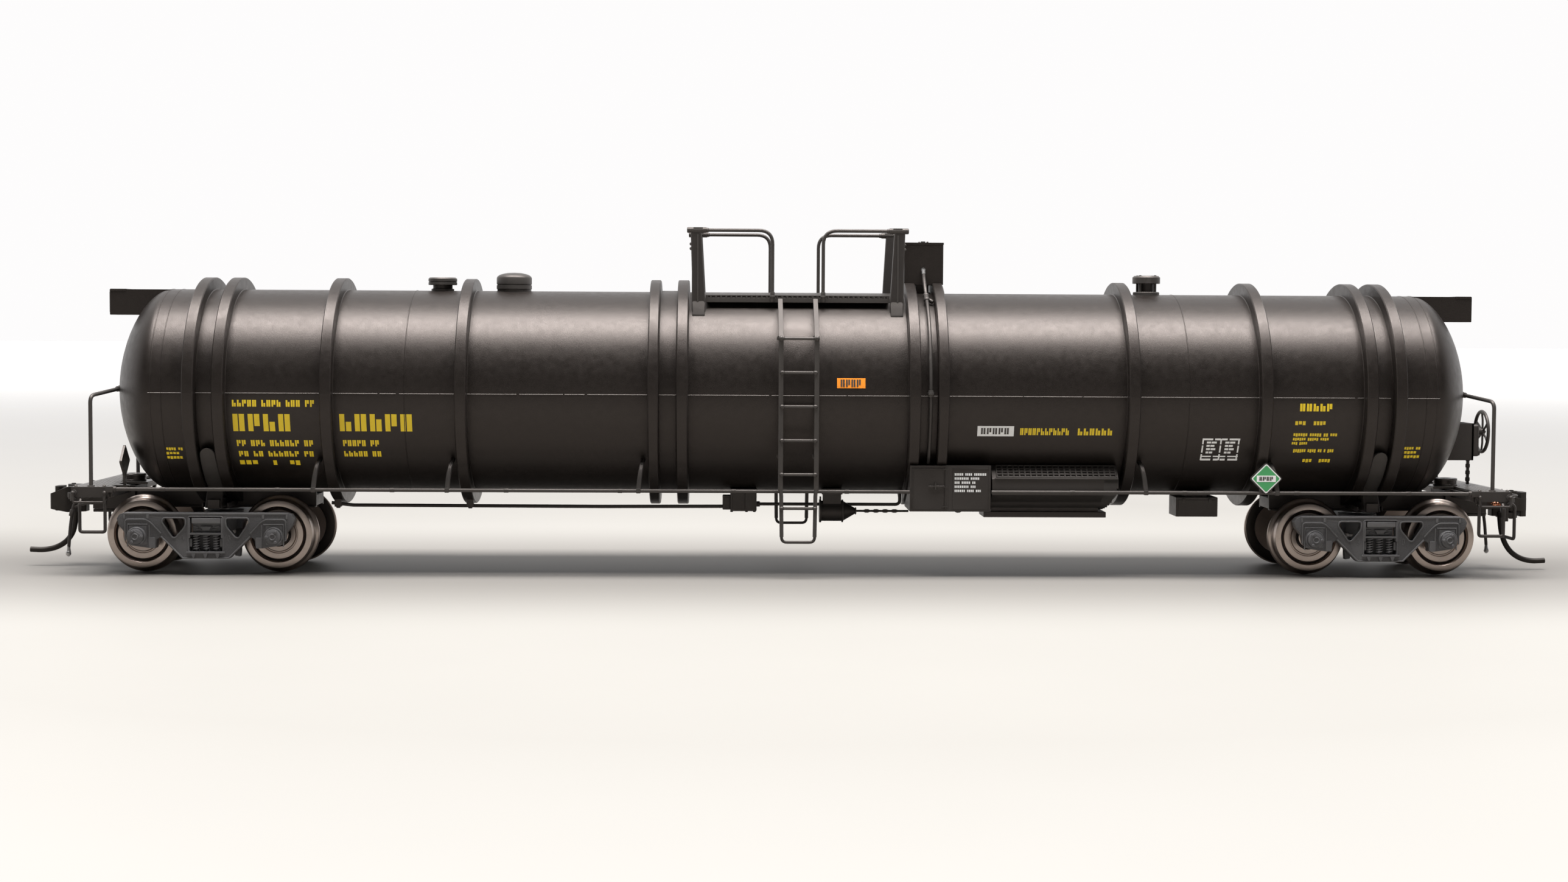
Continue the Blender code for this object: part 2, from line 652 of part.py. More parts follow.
def sideframe_mesh():
    """Cast sideframe on the -Y side, in the truck's own frame (Z as on the wagon)."""
    half_base = WHEELBASE / 2
    half = [(13.0, 7.6), (13.25, 8.5), (12.9, 9.2), (11.8, 9.45)]
    foot = [(3.5, 2.5), (6.6, 5.8), (7.2, 5.1), (7.3, 4.06), (8.2, 4.06), (9.5, 4.15),
            (11.1, 4.5), (11.75, 5.2), (12.0, 6.3)]
    outline = foot + half + [(-x, z) for x, z in reversed(foot + half)]
    windows = []
    for end in (-1, 1):
        windows.append([(end * 3.1, 8.65), (end * 5.9, 8.65), (end * 6.5, 8.2), (end * 5.0, 5.65),
                        (end * 4.5, 5.65), (end * 3.1, 7.5)])
    opening = [(-2.4, 3.6), (2.4, 3.6), (2.4, 8.6), (-2.4, 8.6)]
    frame = plate("XZ", [outline, *windows, opening], (-13.3, -11.2))
    shapes = [frame]
    for end in (-1, 1):
        x = end * half_base
        shapes.append(rod((x, -12.0, AXLE_HEIGHT), (x, -13.9, AXLE_HEIGHT), 1.55, sides=16))
    for x in (-1.65, 0.0, 1.65):
        shapes.append(rod((x, -12.3, 3.2), (x, -12.3, 5.7), 0.62, sides=10))
    frame = fuse(*shapes)
    cones = []
    for end in (-1, 1):
        x = end * half_base
        cones.append(rod((x, -11.0, AXLE_HEIGHT), (x, -12.95, AXLE_HEIGHT), 1.23, 0.03, sides=12))
    return mesh_of(finish(cut(frame, *cones), "sideframe", GREY))


def bolster_mesh():
    """Cross member of a truck; its ends rest on the springs in the sideframe windows."""
    low, high = 5.95, 8.9
    beam = box((-2.4, 2.4), (-10.9, 10.9), (low, high - 0.4))
    ends = box((-2.1, 2.1), (-13.0, 13.0), (low + 0.02, high - 0.9))
    centre = rod((0, 0, low + 0.1), (0, 0, high), 3.0, sides=20)
    hole = rod((0, 0, 4), (0, 0, 10), SCREW_RADIUS + FREE)
    return mesh_of(finish(cut(fuse(beam, ends, centre), hole), "bolster", GREY))


def wheel_mesh():
    """A wheel centred on its axle, its back at Y = 0 and its face towards -Y."""
    bore = AXLE_RADIUS + 0.02
    profile = [(0.0, bore), (0.0, 5.5), (0.35, FLANGE_RADIUS), (0.62, 5.8), (1.0, 5.3),
               (2.6, WHEEL_RADIUS - 0.06), (WHEEL_WIDTH, WHEEL_RADIUS - 0.2), (WHEEL_WIDTH, 4.25),
               (1.9, 4.0), (1.8, 2.0), (2.4, 1.7), (2.4, bore)]
    face_first = [(-s, r) for s, r in reversed(profile)]
    disc = turned(face_first + [face_first[0]], "Y", steps=20)
    return mesh_of(finish(disc, "wheel", NICKEL))


def axle_mesh():
    half, cone = AXLE_LENGTH / 2, 1.3
    profile = [(-half, 0), (-half + cone, AXLE_RADIUS), (half - cone, AXLE_RADIUS), (half, 0)]
    return mesh_of(finish(turned(profile, "Y", steps=12), "axle", DARK_STEEL))


def make_trucks():
    sideframe, bolster, wheel, axle = sideframe_mesh(), bolster_mesh(), wheel_mesh(), axle_mesh()
    head = rod((0, 0, 4.9), (0, 0, 5.65), 1.7, sides=16)
    shaft = rod((0, 0, 5.5), (0, 0, 11.1), SCREW_RADIUS)
    screw = mesh_of(finish(fuse(head, shaft), "screw", DARK_STEEL))
    number = 0
    for end, centre in (("a", -TRUCK_CENTRE), ("b", TRUCK_CENTRE)):
        truck = pivot(f"truck_{end}_pivot", (centre, 0, 0))
        hang(bolster, f"truck_bolster_{end}", truck)
        hang(sideframe, f"sideframe_{end}_near", truck)
        hang(sideframe, f"sideframe_{end}_far", truck, turn=math.pi)
        hang(screw, f"kingpin_screw_{end}", None, (centre, 0, 0))
        for x in (-WHEELBASE / 2, WHEELBASE / 2):
            number += 1
            wheelset = pivot(f"wheelset_{number}_pivot", (x, 0, AXLE_HEIGHT), truck)
            back = BACK_TO_BACK / 2
            hang(axle, f"axle_{number}", wheelset)
            hang(wheel, f"wheel_{number}_near", wheelset, (0, -back, 0))
            hang(wheel, f"wheel_{number}_far", wheelset, (0, back, 0), math.pi)


# ---------------------------------------------------------------- couplers

KNUCKLE_PIN = (8.3, -2.0)   # from the coupler's pivot


def coupler_mesh(pin_drop):
    """Shank, head with its guard arm, lugs for the knuckle and the curved trip pin."""
    half = 1.05
    outline = arc((0, 0), 1.75, 215, 145, 1)[:1] + arc((0, 0), 1.75, -145, -35, 6)
    outline += [(5.9, -half), (7.0, -1.3), (7.0, -0.4), (7.9, 0.2), (8.1, 1.5), (9.9, 2.5),
                (10.5, 2.9), (10.3, 3.3), (8.2, 2.8), (6.8, 1.9), (5.9, half)]
    outline += arc((0, 0), 1.75, 35, 145, 6)
    shank = plate("XY", [outline[1:]], (COUPLER_HEIGHT - 0.9, COUPLER_HEIGHT + 0.9))
    head_outline = [(6.1, -1.0), (7.0, -1.25), (7.0, -0.35), (7.85, 0.2), (8.05, 1.5), (9.9, 2.55),
                    (10.4, 2.9), (10.25, 3.25), (8.2, 2.75), (6.9, 1.85), (6.1, 1.0)]
    head = plate("XY", [head_outline], (COUPLER_HEIGHT - 2.0, COUPLER_HEIGHT + 2.0))
    above = plate("XZ", [[(8.0, 12.6), (11.0, 11.2), (11.0, 14.0), (8.0, 14.0)]], (2.0, 5.0))
    below = plate("XZ", [[(8.6, 8.4), (8.6, 7.0), (11.0, 7.0), (11.0, 9.1)]], (2.0, 5.0))
    shapes = [shank, cut(head, above, below)]
    for low, high in ((8.4, 9.2), (11.8, 12.6)):
        shapes.append(rod((*KNUCKLE_PIN, low), (*KNUCKLE_PIN, high), 1.0, sides=14))
        shapes.append(box((6.4, 8.3), (-2.3, -0.6), (low + 0.05, high - 0.05)))
    pin_route = [(7.3, 0.4, 9.0), (7.5, 0.2, 6.6), (7.9, 0, 4.9), (8.9, 0, 3.4), (10.4, 0, 2.4),
                 (12.3, 0, 1.95), (14.5, 0, 2.05)]
    pin_route = [(x, y, 9.0 - (9.0 - z) * pin_drop) for x, y, z in pin_route]
    shapes.append(wire(pin_route, 0.42))
    coupler = fuse(*shapes)
    return mesh_of(finish(cut(coupler, rod((0, 0, 8), (0, 0, 13), 1.2)), "coupler", DARK_STEEL))


def knuckle_mesh():
    """The hook that opens, about its own pin."""
    gap = 0.3
    hub = rod((0, 0, 9.2 + gap), (0, 0, 11.8 - gap), 0.95, sides=14)
    outline = [(0.2, -0.9), (1.5, -0.7), (2.4, -0.2), (2.4, 2.1), (2.1, 2.5), (1.5, 2.4),
               (1.1, 1.6), (0.5, 0.9), (0.2, 0.85)]
    hook = plate("XY", [outline], (9.2 + gap, 11.8 - gap))
    front = [(1.25, -0.6), (1.6, -0.6), (2.4, -0.18), (2.4, 2.08), (2.1, 2.48), (1.55, 2.35),
             (1.25, 1.7)]
    nose = plate("XY", [front], (8.6, 12.4))
    return mesh_of(finish(fuse(hub, hook, nose), "knuckle", DARK_STEEL))


def spring_mesh():
    """A small coil along X, on the side of the shank."""
    turns, per_turn, length, radius = 5, 6, 1.5, 0.32
    route = []
    for i in range(turns * per_turn + 1):
        angle = 2 * math.pi * i / per_turn
        along = length * i / (turns * per_turn)
        route.append((5.7 + along, -1.75 + radius * math.cos(angle),
                      COUPLER_HEIGHT + radius * math.sin(angle)))
    return mesh_of(finish(wire(route, 0.09), "knuckle_spring", COPPER))


def make_couplers():
    knuckle, spring = knuckle_mesh(), spring_mesh()
    for end, x, turn, pin_drop in (("a", -COUPLER_PIVOT, math.pi, 0.93),
                                   ("b", COUPLER_PIVOT, 0.0, 1.09)):
        coupler = coupler_mesh(pin_drop)
        swing = pivot(f"coupler_{end}_pivot", (x, 0, 0))
        swing.rotation_euler = (0, 0, turn)
        hang(coupler, f"coupler_{end}", swing)
        hang(spring, f"knuckle_spring_{end}", swing)
        pin = pivot(f"knuckle_{end}_pivot", (*KNUCKLE_PIN, 0), swing)
        hang(knuckle, f"knuckle_{end}", pin)


# ---------------------------------------------------------------- build

clear_scene()
WAGON = make_collection("tank_wagon")
CUTTERS = make_collection("cutters")
BLACK = make_material("black_plastic", (0.018, 0.017, 0.016), 0.42)
GREY = make_material("grey_plastic", (0.045, 0.045, 0.047), 0.6)
NICKEL = make_material("nickel_wheel", (0.56, 0.48, 0.43), 0.28, 1.0)
DARK_STEEL = make_material("dark_steel", (0.09, 0.08, 0.075), 0.45, 0.8)
STEEL = make_material("ballast_steel", (0.42, 0.42, 0.43), 0.4, 1.0)
COPPER = make_material("spring_copper", (0.78, 0.38, 0.2), 0.3, 1.0)

TANK_SPACE = make_cutter(
    turned(tank_profile(GLUED), "X", (0, 0, TANK_HEIGHT), TANK_SEGMENTS), "tank_space")

make_tank()
make_ballast()
make_end_frames()
make_end_platforms()
make_end_handrails()
make_end_boxes()
make_walkways()
make_caps()
make_valve_gear()
make_side_rails()
make_ladders()
make_equipment()
make_brake_gear()
make_hand_brake()
make_trucks()
make_couplers()
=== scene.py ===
"""The looks of the model tank wagon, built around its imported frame.

Lengths in this script are millimetres, and MM turns them into Blender's metres. X runs along
the wagon to the hand brake, the equipment cabinet is on the -Y side and Z is up.
"""
import math
import random

import bmesh
import bpy
from mathutils import Matrix, Vector


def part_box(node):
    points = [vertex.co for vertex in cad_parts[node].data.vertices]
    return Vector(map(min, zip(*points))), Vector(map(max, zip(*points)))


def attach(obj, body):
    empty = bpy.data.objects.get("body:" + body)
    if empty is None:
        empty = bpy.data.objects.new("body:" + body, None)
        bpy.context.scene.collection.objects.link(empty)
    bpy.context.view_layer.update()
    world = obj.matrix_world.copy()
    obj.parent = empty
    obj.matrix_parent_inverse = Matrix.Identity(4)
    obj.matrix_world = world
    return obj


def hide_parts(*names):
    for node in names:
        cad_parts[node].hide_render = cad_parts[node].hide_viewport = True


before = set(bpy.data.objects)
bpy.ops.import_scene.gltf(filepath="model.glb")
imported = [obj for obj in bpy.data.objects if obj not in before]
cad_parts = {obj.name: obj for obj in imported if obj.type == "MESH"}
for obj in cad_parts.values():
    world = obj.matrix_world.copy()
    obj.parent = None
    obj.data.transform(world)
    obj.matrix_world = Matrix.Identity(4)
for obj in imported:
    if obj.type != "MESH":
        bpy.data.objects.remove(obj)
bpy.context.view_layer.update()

MM = 0.001
random.seed(87)


def extent(node):
    """A CAD node's lowest and highest corners, in millimetres."""
    low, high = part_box(node)
    return Vector(low) / MM, Vector(high) / MM


# ---------------------------------------------------------------- sizes, from the frame

WHEEL_LOW, WHEEL_HIGH = extent("wheel_3_near")
AXLE_Z = (WHEEL_LOW.z + WHEEL_HIGH.z) / 2
FLANGE_RADIUS = (WHEEL_HIGH.z - WHEEL_LOW.z) / 2
TREAD_RADIUS = FLANGE_RADIUS - 0.64
WHEEL_BACK, WHEEL_FACE = -WHEEL_HIGH.y, -WHEEL_LOW.y
AXLE_X = [sum(extent(f"axle_{n}")[i].x for i in (0, 1)) / 2 for n in (1, 2, 3, 4)]
HALF_WHEELBASE = (AXLE_X[3] - AXLE_X[2]) / 2
TRUCK_X = (AXLE_X[2] + AXLE_X[3]) / 2

TANK_LOW, TANK_TOP = extent("tank_shell_lower")[0], extent("tank_shell_upper")[1]
RING_RADIUS = TANK_TOP.y
TANK_Z = (extent("tank_shell_lower")[0].z + extent("tank_shell_upper")[1].z) / 2
TANK_TIP = TANK_TOP.x
TANK_RADIUS = RING_RADIUS - 1.85
HEAD_START = TANK_TIP - 7.54
HEAD_POWER = 1.70
RINGS = (17.41, 21.71, 50.29, 70.18, 86.07, 90.44)
RING_WIDTH = 1.7

DECK_HIGH = extent("end_platform_b")[1]
DECK_OUTER, DECK_HALF_WIDTH = DECK_HIGH.x, DECK_HIGH.y
DECK_TOP = 13.35
BOLSTER_X = 88.1
COUPLER_PIVOT, COUPLER_Z = 104.3, 10.5
TRIP_PIN_DROP = {"a": 0.93, "b": 1.09}
SILL_INNER, SILL_OUTER = 74, 101.7
POCKET_INNER, POCKET_OUTER = 101.6, 108.1
CORNER_POST_X, CORNER_POST_Y = 105.6, 13.6
HOSE_Y = 5.5
RAIL_Y, RAIL_Z = 14.9, 13.05
WALKWAY_TOP, HOOP_TOP = 42.5, 52.3
FRAME_FACE = -13.1
CABINET_LOW, CABINET_HIGH = extent("equipment_cabinet")
HOUSING_HIGH = extent("vaporizer_housing")[1]


# ---------------------------------------------------------------- materials

class Nodes:
    """Short ways to wire a material's nodes."""

    def __init__(self, name):
        self.material = bpy.data.materials.new(name)
        self.material.use_nodes = True
        self.tree = self.material.node_tree
        self.shader = self.tree.nodes["Principled BSDF"]
        self.place = self.add("ShaderNodeTexCoord").outputs["Object"]

    def add(self, kind, inputs=(), **settings):
        node = self.tree.nodes.new(kind)
        for key, value in settings.items():
            setattr(node, key, value)
        for key, value in dict(inputs).items():
            if isinstance(value, bpy.types.NodeSocket):
                self.tree.links.new(value, node.inputs[key])
            else:
                node.inputs[key].default_value = value
        return node

    def noise(self, size, detail=3.0, roughness=0.6, place=None):
        """Noise whose blobs are about size millimetres across."""
        inputs = {"Vector": place or self.place, "Scale": 1 / (size * MM), "Detail": detail,
                  "Roughness": roughness}
        return self.add("ShaderNodeTexNoise", inputs).outputs["Fac"]

    def ramp(self, value, stops):
        """Colours or grey levels at places along a value from 0 to 1."""
        node = self.add("ShaderNodeValToRGB", {"Fac": value})
        for i, (at, level) in enumerate(stops):
            stop = node.color_ramp.elements[i] if i < 2 else node.color_ramp.elements.new(at)
            stop.position = at
            stop.color = (*level, 1) if isinstance(level, tuple) else (level, level, level, 1)
        return node.outputs["Color"]

    def mix(self, factor, a, b):
        node = self.add("ShaderNodeMix", data_type="RGBA")
        for socket, value in ((0, factor), (6, a), (7, b)):
            if isinstance(value, bpy.types.NodeSocket):
                self.tree.links.new(value, node.inputs[socket])
            else:
                node.inputs[socket].default_value = value if socket == 0 else (*value, 1)
        return node.outputs[2]

    def bump(self, height, depth, strength=1.0, under=None):
        """Relief depth millimetres deep."""
        inputs = {"Height": height, "Distance": depth * MM, "Strength": strength}
        if under:
            inputs["Normal"] = under
        return self.add("ShaderNodeBump", inputs).outputs["Normal"]

    def set(self, **inputs):
        for key, value in inputs.items():
            socket = self.shader.inputs[key.replace("_", " ")]
            if isinstance(value, bpy.types.NodeSocket):
                self.tree.links.new(value, socket)
            else:
                socket.default_value = (*value, 1) if isinstance(value, tuple) else value
        return self.material


def painted(name, dark, light, rough, grain=0.16, relief=0.012, edge=None):
    """Sprayed paint: a fine grain, soft changes of tone, and, where asked, edges lightened as a painted
    highlight.
    """
    n = Nodes(name)
    tone = n.mix(n.noise(4.0), dark, light)
    # Painted highlight: sharp edges are lightened towards the edge colour.
    if edge:
        edges = n.ramp(n.add("ShaderNodeNewGeometry").outputs["Pointiness"], [(0.5, 0.0), (0.62, 0.5)])
        tone = n.mix(edges, tone, edge)
    specks = n.noise(grain, 2.0)
    roughness = n.ramp(n.noise(1.1), [(0.3, rough - 0.04), (0.7, rough + 0.05)])
    return n.set(Base_Color=tone, Roughness=roughness, Normal=n.bump(specks, relief),
                 Specular_Tint=(1.0, 0.87, 0.81))


def cast_grey():
    n = Nodes("truck_moulding")
    grain = n.noise(0.13, 3.0)
    # Sharp edges are made lighter.
    lighter_edges = n.ramp(n.add("ShaderNodeNewGeometry").outputs["Pointiness"], [(0.5, 0.0), (0.6, 0.75)])
    tone = n.mix(n.noise(1.6), (0.034, 0.033, 0.035), (0.05, 0.049, 0.052))
    tone = n.mix(n.ramp(grain, [(0.35, 0.0), (0.65, 1.0)]), tone, (0.085, 0.083, 0.087))
    tone = n.mix(lighter_edges, tone, (0.19, 0.187, 0.19))
    return n.set(Base_Color=tone, Roughness=n.ramp(grain, [(0.3, 0.42), (0.7, 0.6)]),
                 Normal=n.bump(grain, 0.035))


def turned_metal(name, color, rough):
    """Plated metal turned on a lathe: faint rings around the axle, and small clouds."""
    n = Nodes(name)
    clouds = n.noise(2.2, 3.0)
    marks = n.noise(0.1, 2.0)
    tone = n.mix(clouds, color, tuple(c * 0.84 for c in color))
    tone = n.mix(n.ramp(marks, [(0.35, 0.0), (0.8, 0.4)]), tone, tuple(c * 0.6 for c in color))
    roughness = n.ramp(clouds, [(0.35, rough), (0.75, rough + 0.07)])
    return n.set(Base_Color=tone, Metallic=1.0, Roughness=roughness, Normal=n.bump(marks, 0.0015))


def dark_metal(name, color, rough):
    n = Nodes(name)
    clouds = n.noise(0.9, 4.0)
    tone = n.mix(clouds, color, tuple(c * 1.7 for c in color))
    roughness = n.ramp(clouds, [(0.3, rough), (0.7, rough + 0.15)])
    return n.set(Base_Color=tone, Metallic=0.65, Roughness=roughness, Normal=n.bump(n.noise(0.12), 0.012))


def ink(name, color, rough=0.5):
    """Printed ink: thin, a little uneven, so that the black shows through in pinholes."""
    n = Nodes(name)
    pinholes = n.ramp(n.noise(0.09, 2.0), [(0.26, 0.35), (0.36, 0.0)])
    tone = n.mix(pinholes, color, (0.03, 0.028, 0.02))
    return n.set(Base_Color=tone, Roughness=rough, Normal=n.bump(n.noise(0.14), 0.006))


BLACK = painted("black_paint", (0.0072, 0.0058, 0.005), (0.0108, 0.0088, 0.0076), 0.37, 0.1, 0.018)
# The edge colours of these paints are painted highlights along their sharp edges.
FRAME_BLACK = painted("underframe_paint", (0.0135, 0.0125, 0.012), (0.02, 0.0185, 0.0175), 0.46,
                      edge=(0.07, 0.066, 0.062))
TRIM_BLACK = painted("trim_paint", (0.02, 0.0185, 0.0175), (0.03, 0.028, 0.0265), 0.42,
                     edge=(0.09, 0.085, 0.08))
# Painted highlight: the deck paint is lighter than the other blacks, and lighter still on its edges, for the
# backdrop reflected off the grating.
DECK_BLACK_PAINTED_SHEEN = painted("deck_paint_painted_sheen", (0.028, 0.025, 0.023), (0.04, 0.036, 0.033), 0.3, 0.1, 0.008,
                     edge=(0.16, 0.15, 0.14))
GREY = cast_grey()
NICKEL = turned_metal("nickel_plate", (0.56, 0.475, 0.425), 0.3)
WHEEL_BACK_BLACK = painted("wheel_back_paint", (0.012, 0.011, 0.0105), (0.02, 0.018, 0.017), 0.33)
COUPLER_METAL = dark_metal("blackened_metal", (0.028, 0.024, 0.021), 0.42)
STEEL = turned_metal("bright_steel", (0.62, 0.61, 0.6), 0.3)
COPPER = turned_metal("copper_wire", (0.9, 0.42, 0.24), 0.22)
YELLOW = ink("yellow_ink", (1.0, 0.72, 0.02))
WHITE = ink("white_ink", (1.0, 1.0, 0.99))
ORANGE = ink("orange_ink", (0.98, 0.31, 0.02))
GREEN = ink("green_ink", (0.075, 0.4, 0.14), 0.4)


# ---------------------------------------------------------------- shapes

def merge(bm, part):
    """Move a part's geometry into bm."""
    mesh = bpy.data.meshes.new("part")
    part.to_mesh(mesh)
    part.free()
    bm.from_mesh(mesh)
    bpy.data.meshes.remove(mesh)


def soften(part, width, segments=2, angle=30):
    """Bevel a part's sharp edges."""
    limit = math.radians(angle)
    edges = [e for e in part.edges if len(e.link_faces) == 2 and e.calc_face_angle() > limit]
    bmesh.ops.bevel(part, geom=edges, offset=width * MM, segments=segments, profile=0.6,
                    affect="EDGES", clamp_overlap=True)


def box(bm, x, y, z, bevel=0.06, segments=2):
    centre = Vector([sum(r) / 2 for r in (x, y, z)]) * MM
    size = Vector([abs(r[1] - r[0]) for r in (x, y, z)]) * MM
    part = bmesh.new()
    bmesh.ops.create_cube(part, size=1, matrix=Matrix.Translation(centre) @ Matrix.Diagonal((*size, 1)))
    if bevel:
        soften(part, min(bevel, min(size) / MM * 0.3), segments)
    merge(bm, part)


def rod(bm, start, end, radius, end_radius=None, sides=20, bevel=0.0):
    start, end = Vector(start) * MM, Vector(end) * MM
    along = end - start
    part = bmesh.new()
    place = Matrix.Translation((start + end) / 2) @ along.to_track_quat("Z", "Y").to_matrix().to_4x4()
    bmesh.ops.create_cone(part, cap_ends=True, segments=sides, radius1=radius * MM,
                          radius2=(radius if end_radius is None else end_radius) * MM,
                          depth=along.length, matrix=place)
    if bevel:
        soften(part, bevel, 2, 50)
    merge(bm, part)


def ball(bm, centre, radius, stretch=(1, 1, 1)):
    part = bmesh.new()
    place = Matrix.Translation(Vector(centre) * MM) @ Matrix.Diagonal((*stretch, 1))
    bmesh.ops.create_uvsphere(part, u_segments=16, v_segments=10, radius=radius * MM, matrix=place)
    merge(bm, part)


def rounded(points, radius, steps=5):
    """A route of straight runs with rounded corners."""
    route = [Vector(points[0])]
    for before, corner, after in zip(points, points[1:], points[2:]):
        corner = Vector(corner)
        back, on = Vector(before) - corner, Vector(after) - corner
        reach = min(radius, back.length * 0.49, on.length * 0.49)
        start, end = corner + back.normalized() * reach, corner + on.normalized() * reach
        for i in range(steps + 1):
            t = i / steps
            route.append(start * (1 - t) ** 2 + corner * 2 * t * (1 - t) + end * t ** 2)
    route.append(Vector(points[-1]))
    return route


def tube(bm, points, radius, sides=12, squash=1.0):
    """A round or flattened bar along a route, with its ends closed."""
    points = [Vector(p) * MM for p in points]
    part = bmesh.new()
    across, rings = None, []
    for i, point in enumerate(points):
        along = (points[min(i + 1, len(points) - 1)] - points[max(i - 1, 0)]).normalized()
        if across is None:
            across = along.orthogonal().normalized()
        across = (across - along * across.dot(along)).normalized()
        other = along.cross(across)
        ring = []
        for k in range(sides):
            angle = 2 * math.pi * k / sides
            offset = across * math.cos(angle) * squash + other * math.sin(angle)
            ring.append(part.verts.new(point + offset * radius * MM))
        rings.append(ring)
    for a, b in zip(rings, rings[1:]):
        for k in range(sides):
            part.faces.new((a[k], a[(k + 1) % sides], b[(k + 1) % sides], b[k]))
    part.faces.new(list(reversed(rings[0])))
    part.faces.new(rings[-1])
    merge(bm, part)


def lathe(bm, profile, axis="Y", centre=(0, 0, 0), steps=48, start=0.0, sweep=360.0):
    """A turned shape from (place along the axis, radius) pairs; under 360 degrees it is closed flat."""
    turn = {"X": Matrix.Rotation(math.pi / 2, 4, "Y"), "Y": Matrix.Rotation(-math.pi / 2, 4, "X"),
            "Z": Matrix()}[axis]
    place = Matrix.Translation(Vector(centre) * MM) @ turn
    part = bmesh.new()
    whole = sweep >= 360
    count = steps if whole else steps + 1
    columns = []
    for k in range(count):
        angle = math.radians(start + sweep * k / steps)
        column = []
        for i, (along, radius) in enumerate(profile):
            if radius == 0 and k:
                column.append(columns[0][i])
            else:
                offset = (radius * math.cos(angle), radius * math.sin(angle), along)
                column.append(part.verts.new(place @ (Vector(offset) * MM)))
        columns.append(column)
    for k in range(steps):
        a, b = columns[k], columns[(k + 1) % count]
        for i in range(len(profile) - 1):
            corners = [a[i], a[i + 1], b[i + 1], b[i]]
            unique = list(dict.fromkeys(corners))
            if len(unique) > 2:
                part.faces.new(unique)
    if not whole:
        loop = columns[0] + [v for v in reversed(columns[-1]) if v not in columns[0]]
        part.faces.new(loop)
    merge(bm, part)


def plate(bm, plane, loops, depth, bevel=0.07, segments=2, rim=None):
    """A flat outline with any holes after it; rim = (width, drop) sinks the face at depth[0]."""
    part = bmesh.new()
    edges = []
    for loop in loops:
        verts = [part.verts.new((u * MM, v * MM, 0)) for u, v in loop]
        edges += [part.edges.new((verts[i - 1], verts[i])) for i in range(len(verts))]
    bmesh.ops.triangle_fill(part, edges=edges, use_beauty=True)
    first = list(part.faces)
    made = bmesh.ops.extrude_face_region(part, geom=first, use_keep_orig=True)["geom"]
    thick = abs(depth[1] - depth[0]) * MM
    bmesh.ops.translate(part, verts=[g for g in made if isinstance(g, bmesh.types.BMVert)],
                        vec=(0, 0, thick))
    bmesh.ops.recalc_face_normals(part, faces=part.faces)
    if rim:
        front = [f for f in part.faces if all(abs(v.co.z) < 1e-9 for v in f.verts)]
        bmesh.ops.inset_region(part, faces=front, thickness=rim[0] * MM, depth=-rim[1] * MM,
                               use_even_offset=True, use_boundary=True)
    if bevel:
        soften(part, bevel, segments, 40)
    u, v, w = {"XY": ((1, 0, 0), (0, 1, 0), (0, 0, 1)), "XZ": ((1, 0, 0), (0, 0, 1), (0, 1, 0)),
               "YZ": ((0, 1, 0), (0, 0, 1), (1, 0, 0))}[plane]
    toward = 1 if depth[1] > depth[0] else -1
    turn = Matrix((u, v, Vector(w) * toward)).transposed().to_4x4()
    turn.translation = Vector(w) * depth[0] * MM
    bmesh.ops.transform(part, matrix=turn, verts=part.verts)
    merge(bm, part)


def arc(centre, radius, start, end, steps):
    angles = [math.radians(start + (end - start) * i / steps) for i in range(steps + 1)]
    return [(centre[0] + radius * math.cos(a), centre[1] + radius * math.sin(a)) for a in angles]


def loop_route(centre, across, tall, steps, facing="Y"):
    """A closed round or oval route that faces along Y or X."""
    x, y, z = centre
    route = []
    for i in range(steps + 1):
        angle = 2 * math.pi * i / steps
        u, v = across * math.cos(angle), tall * math.sin(angle)
        route.append((x + u, y, z + v) if facing == "Y" else (x, y + u, z + v))
    return route


def helix(start, radius, length, turns, per_turn, along):
    """A coil's route, wound along Z or X."""
    x, y, z = start
    route = []
    for i in range(turns * per_turn + 1):
        angle = 2 * math.pi * i / per_turn
        u, v, rise = radius * math.cos(angle), radius * math.sin(angle), length * i / (per_turn * turns)
        route.append((x + u, y + v, z + rise) if along == "Z" else (x + rise, y + u, z + v))
    return route


def smooth_loop(points, radius, steps=4):
    """A closed outline with every corner rounded."""
    loop = []
    count = len(points)
    for i, corner in enumerate(points):
        corner = Vector(corner)
        back, on = Vector(points[i - 1]) - corner, Vector(points[(i + 1) % count]) - corner
        reach = min(radius, back.length * 0.45, on.length * 0.45)
        start, end = corner + back.normalized() * reach, corner + on.normalized() * reach
        for k in range(steps + 1):
            t = k / steps
            loop.append(tuple(start * (1 - t) ** 2 + corner * 2 * t * (1 - t) + end * t ** 2))
    return loop


def finish(name, bm, material, body, stands_for=(), turned=False, crease=38):
    """Make a piece from bm. A turned piece is the same one at the other end of the wagon."""
    bmesh.ops.recalc_face_normals(bm, faces=bm.faces)
    if turned:
        bmesh.ops.rotate(bm, verts=bm.verts, cent=(0, 0, 0), matrix=Matrix.Rotation(math.pi, 3, "Z"))
    mesh = bpy.data.meshes.new(name)
    bm.to_mesh(mesh)
    bm.free()
    piece = bpy.data.objects.new(name, mesh)
    bpy.context.scene.collection.objects.link(piece)
    mesh.materials.append(material)
    mesh.shade_smooth()
    mesh.set_sharp_from_angle(angle=math.radians(crease))
    even = piece.modifiers.new("Even shading", "WEIGHTED_NORMAL")
    even.keep_sharp = True
    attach(piece, body)
    if stands_for:
        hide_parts(*stands_for)
    return piece


def skin(node, bm, material, body="wagon_body", turned=False):
    """Make the piece that stands for one CAD node."""
    return finish(f"{node}_skin", bm, material, body, [node], turned)


def both_ends(build, name, material, body="wagon_body", stands_for=""):
    """Build a piece at end B and again, turned half round, at end A."""
    for end in "ba":
        bm = bmesh.new()
        build(bm)
        nodes = [stands_for.replace("#", end)] if stands_for else []
        finish(name.replace("#", end), bm, material, body.replace("#", end), nodes, end == "a")


# ---------------------------------------------------------------- tank

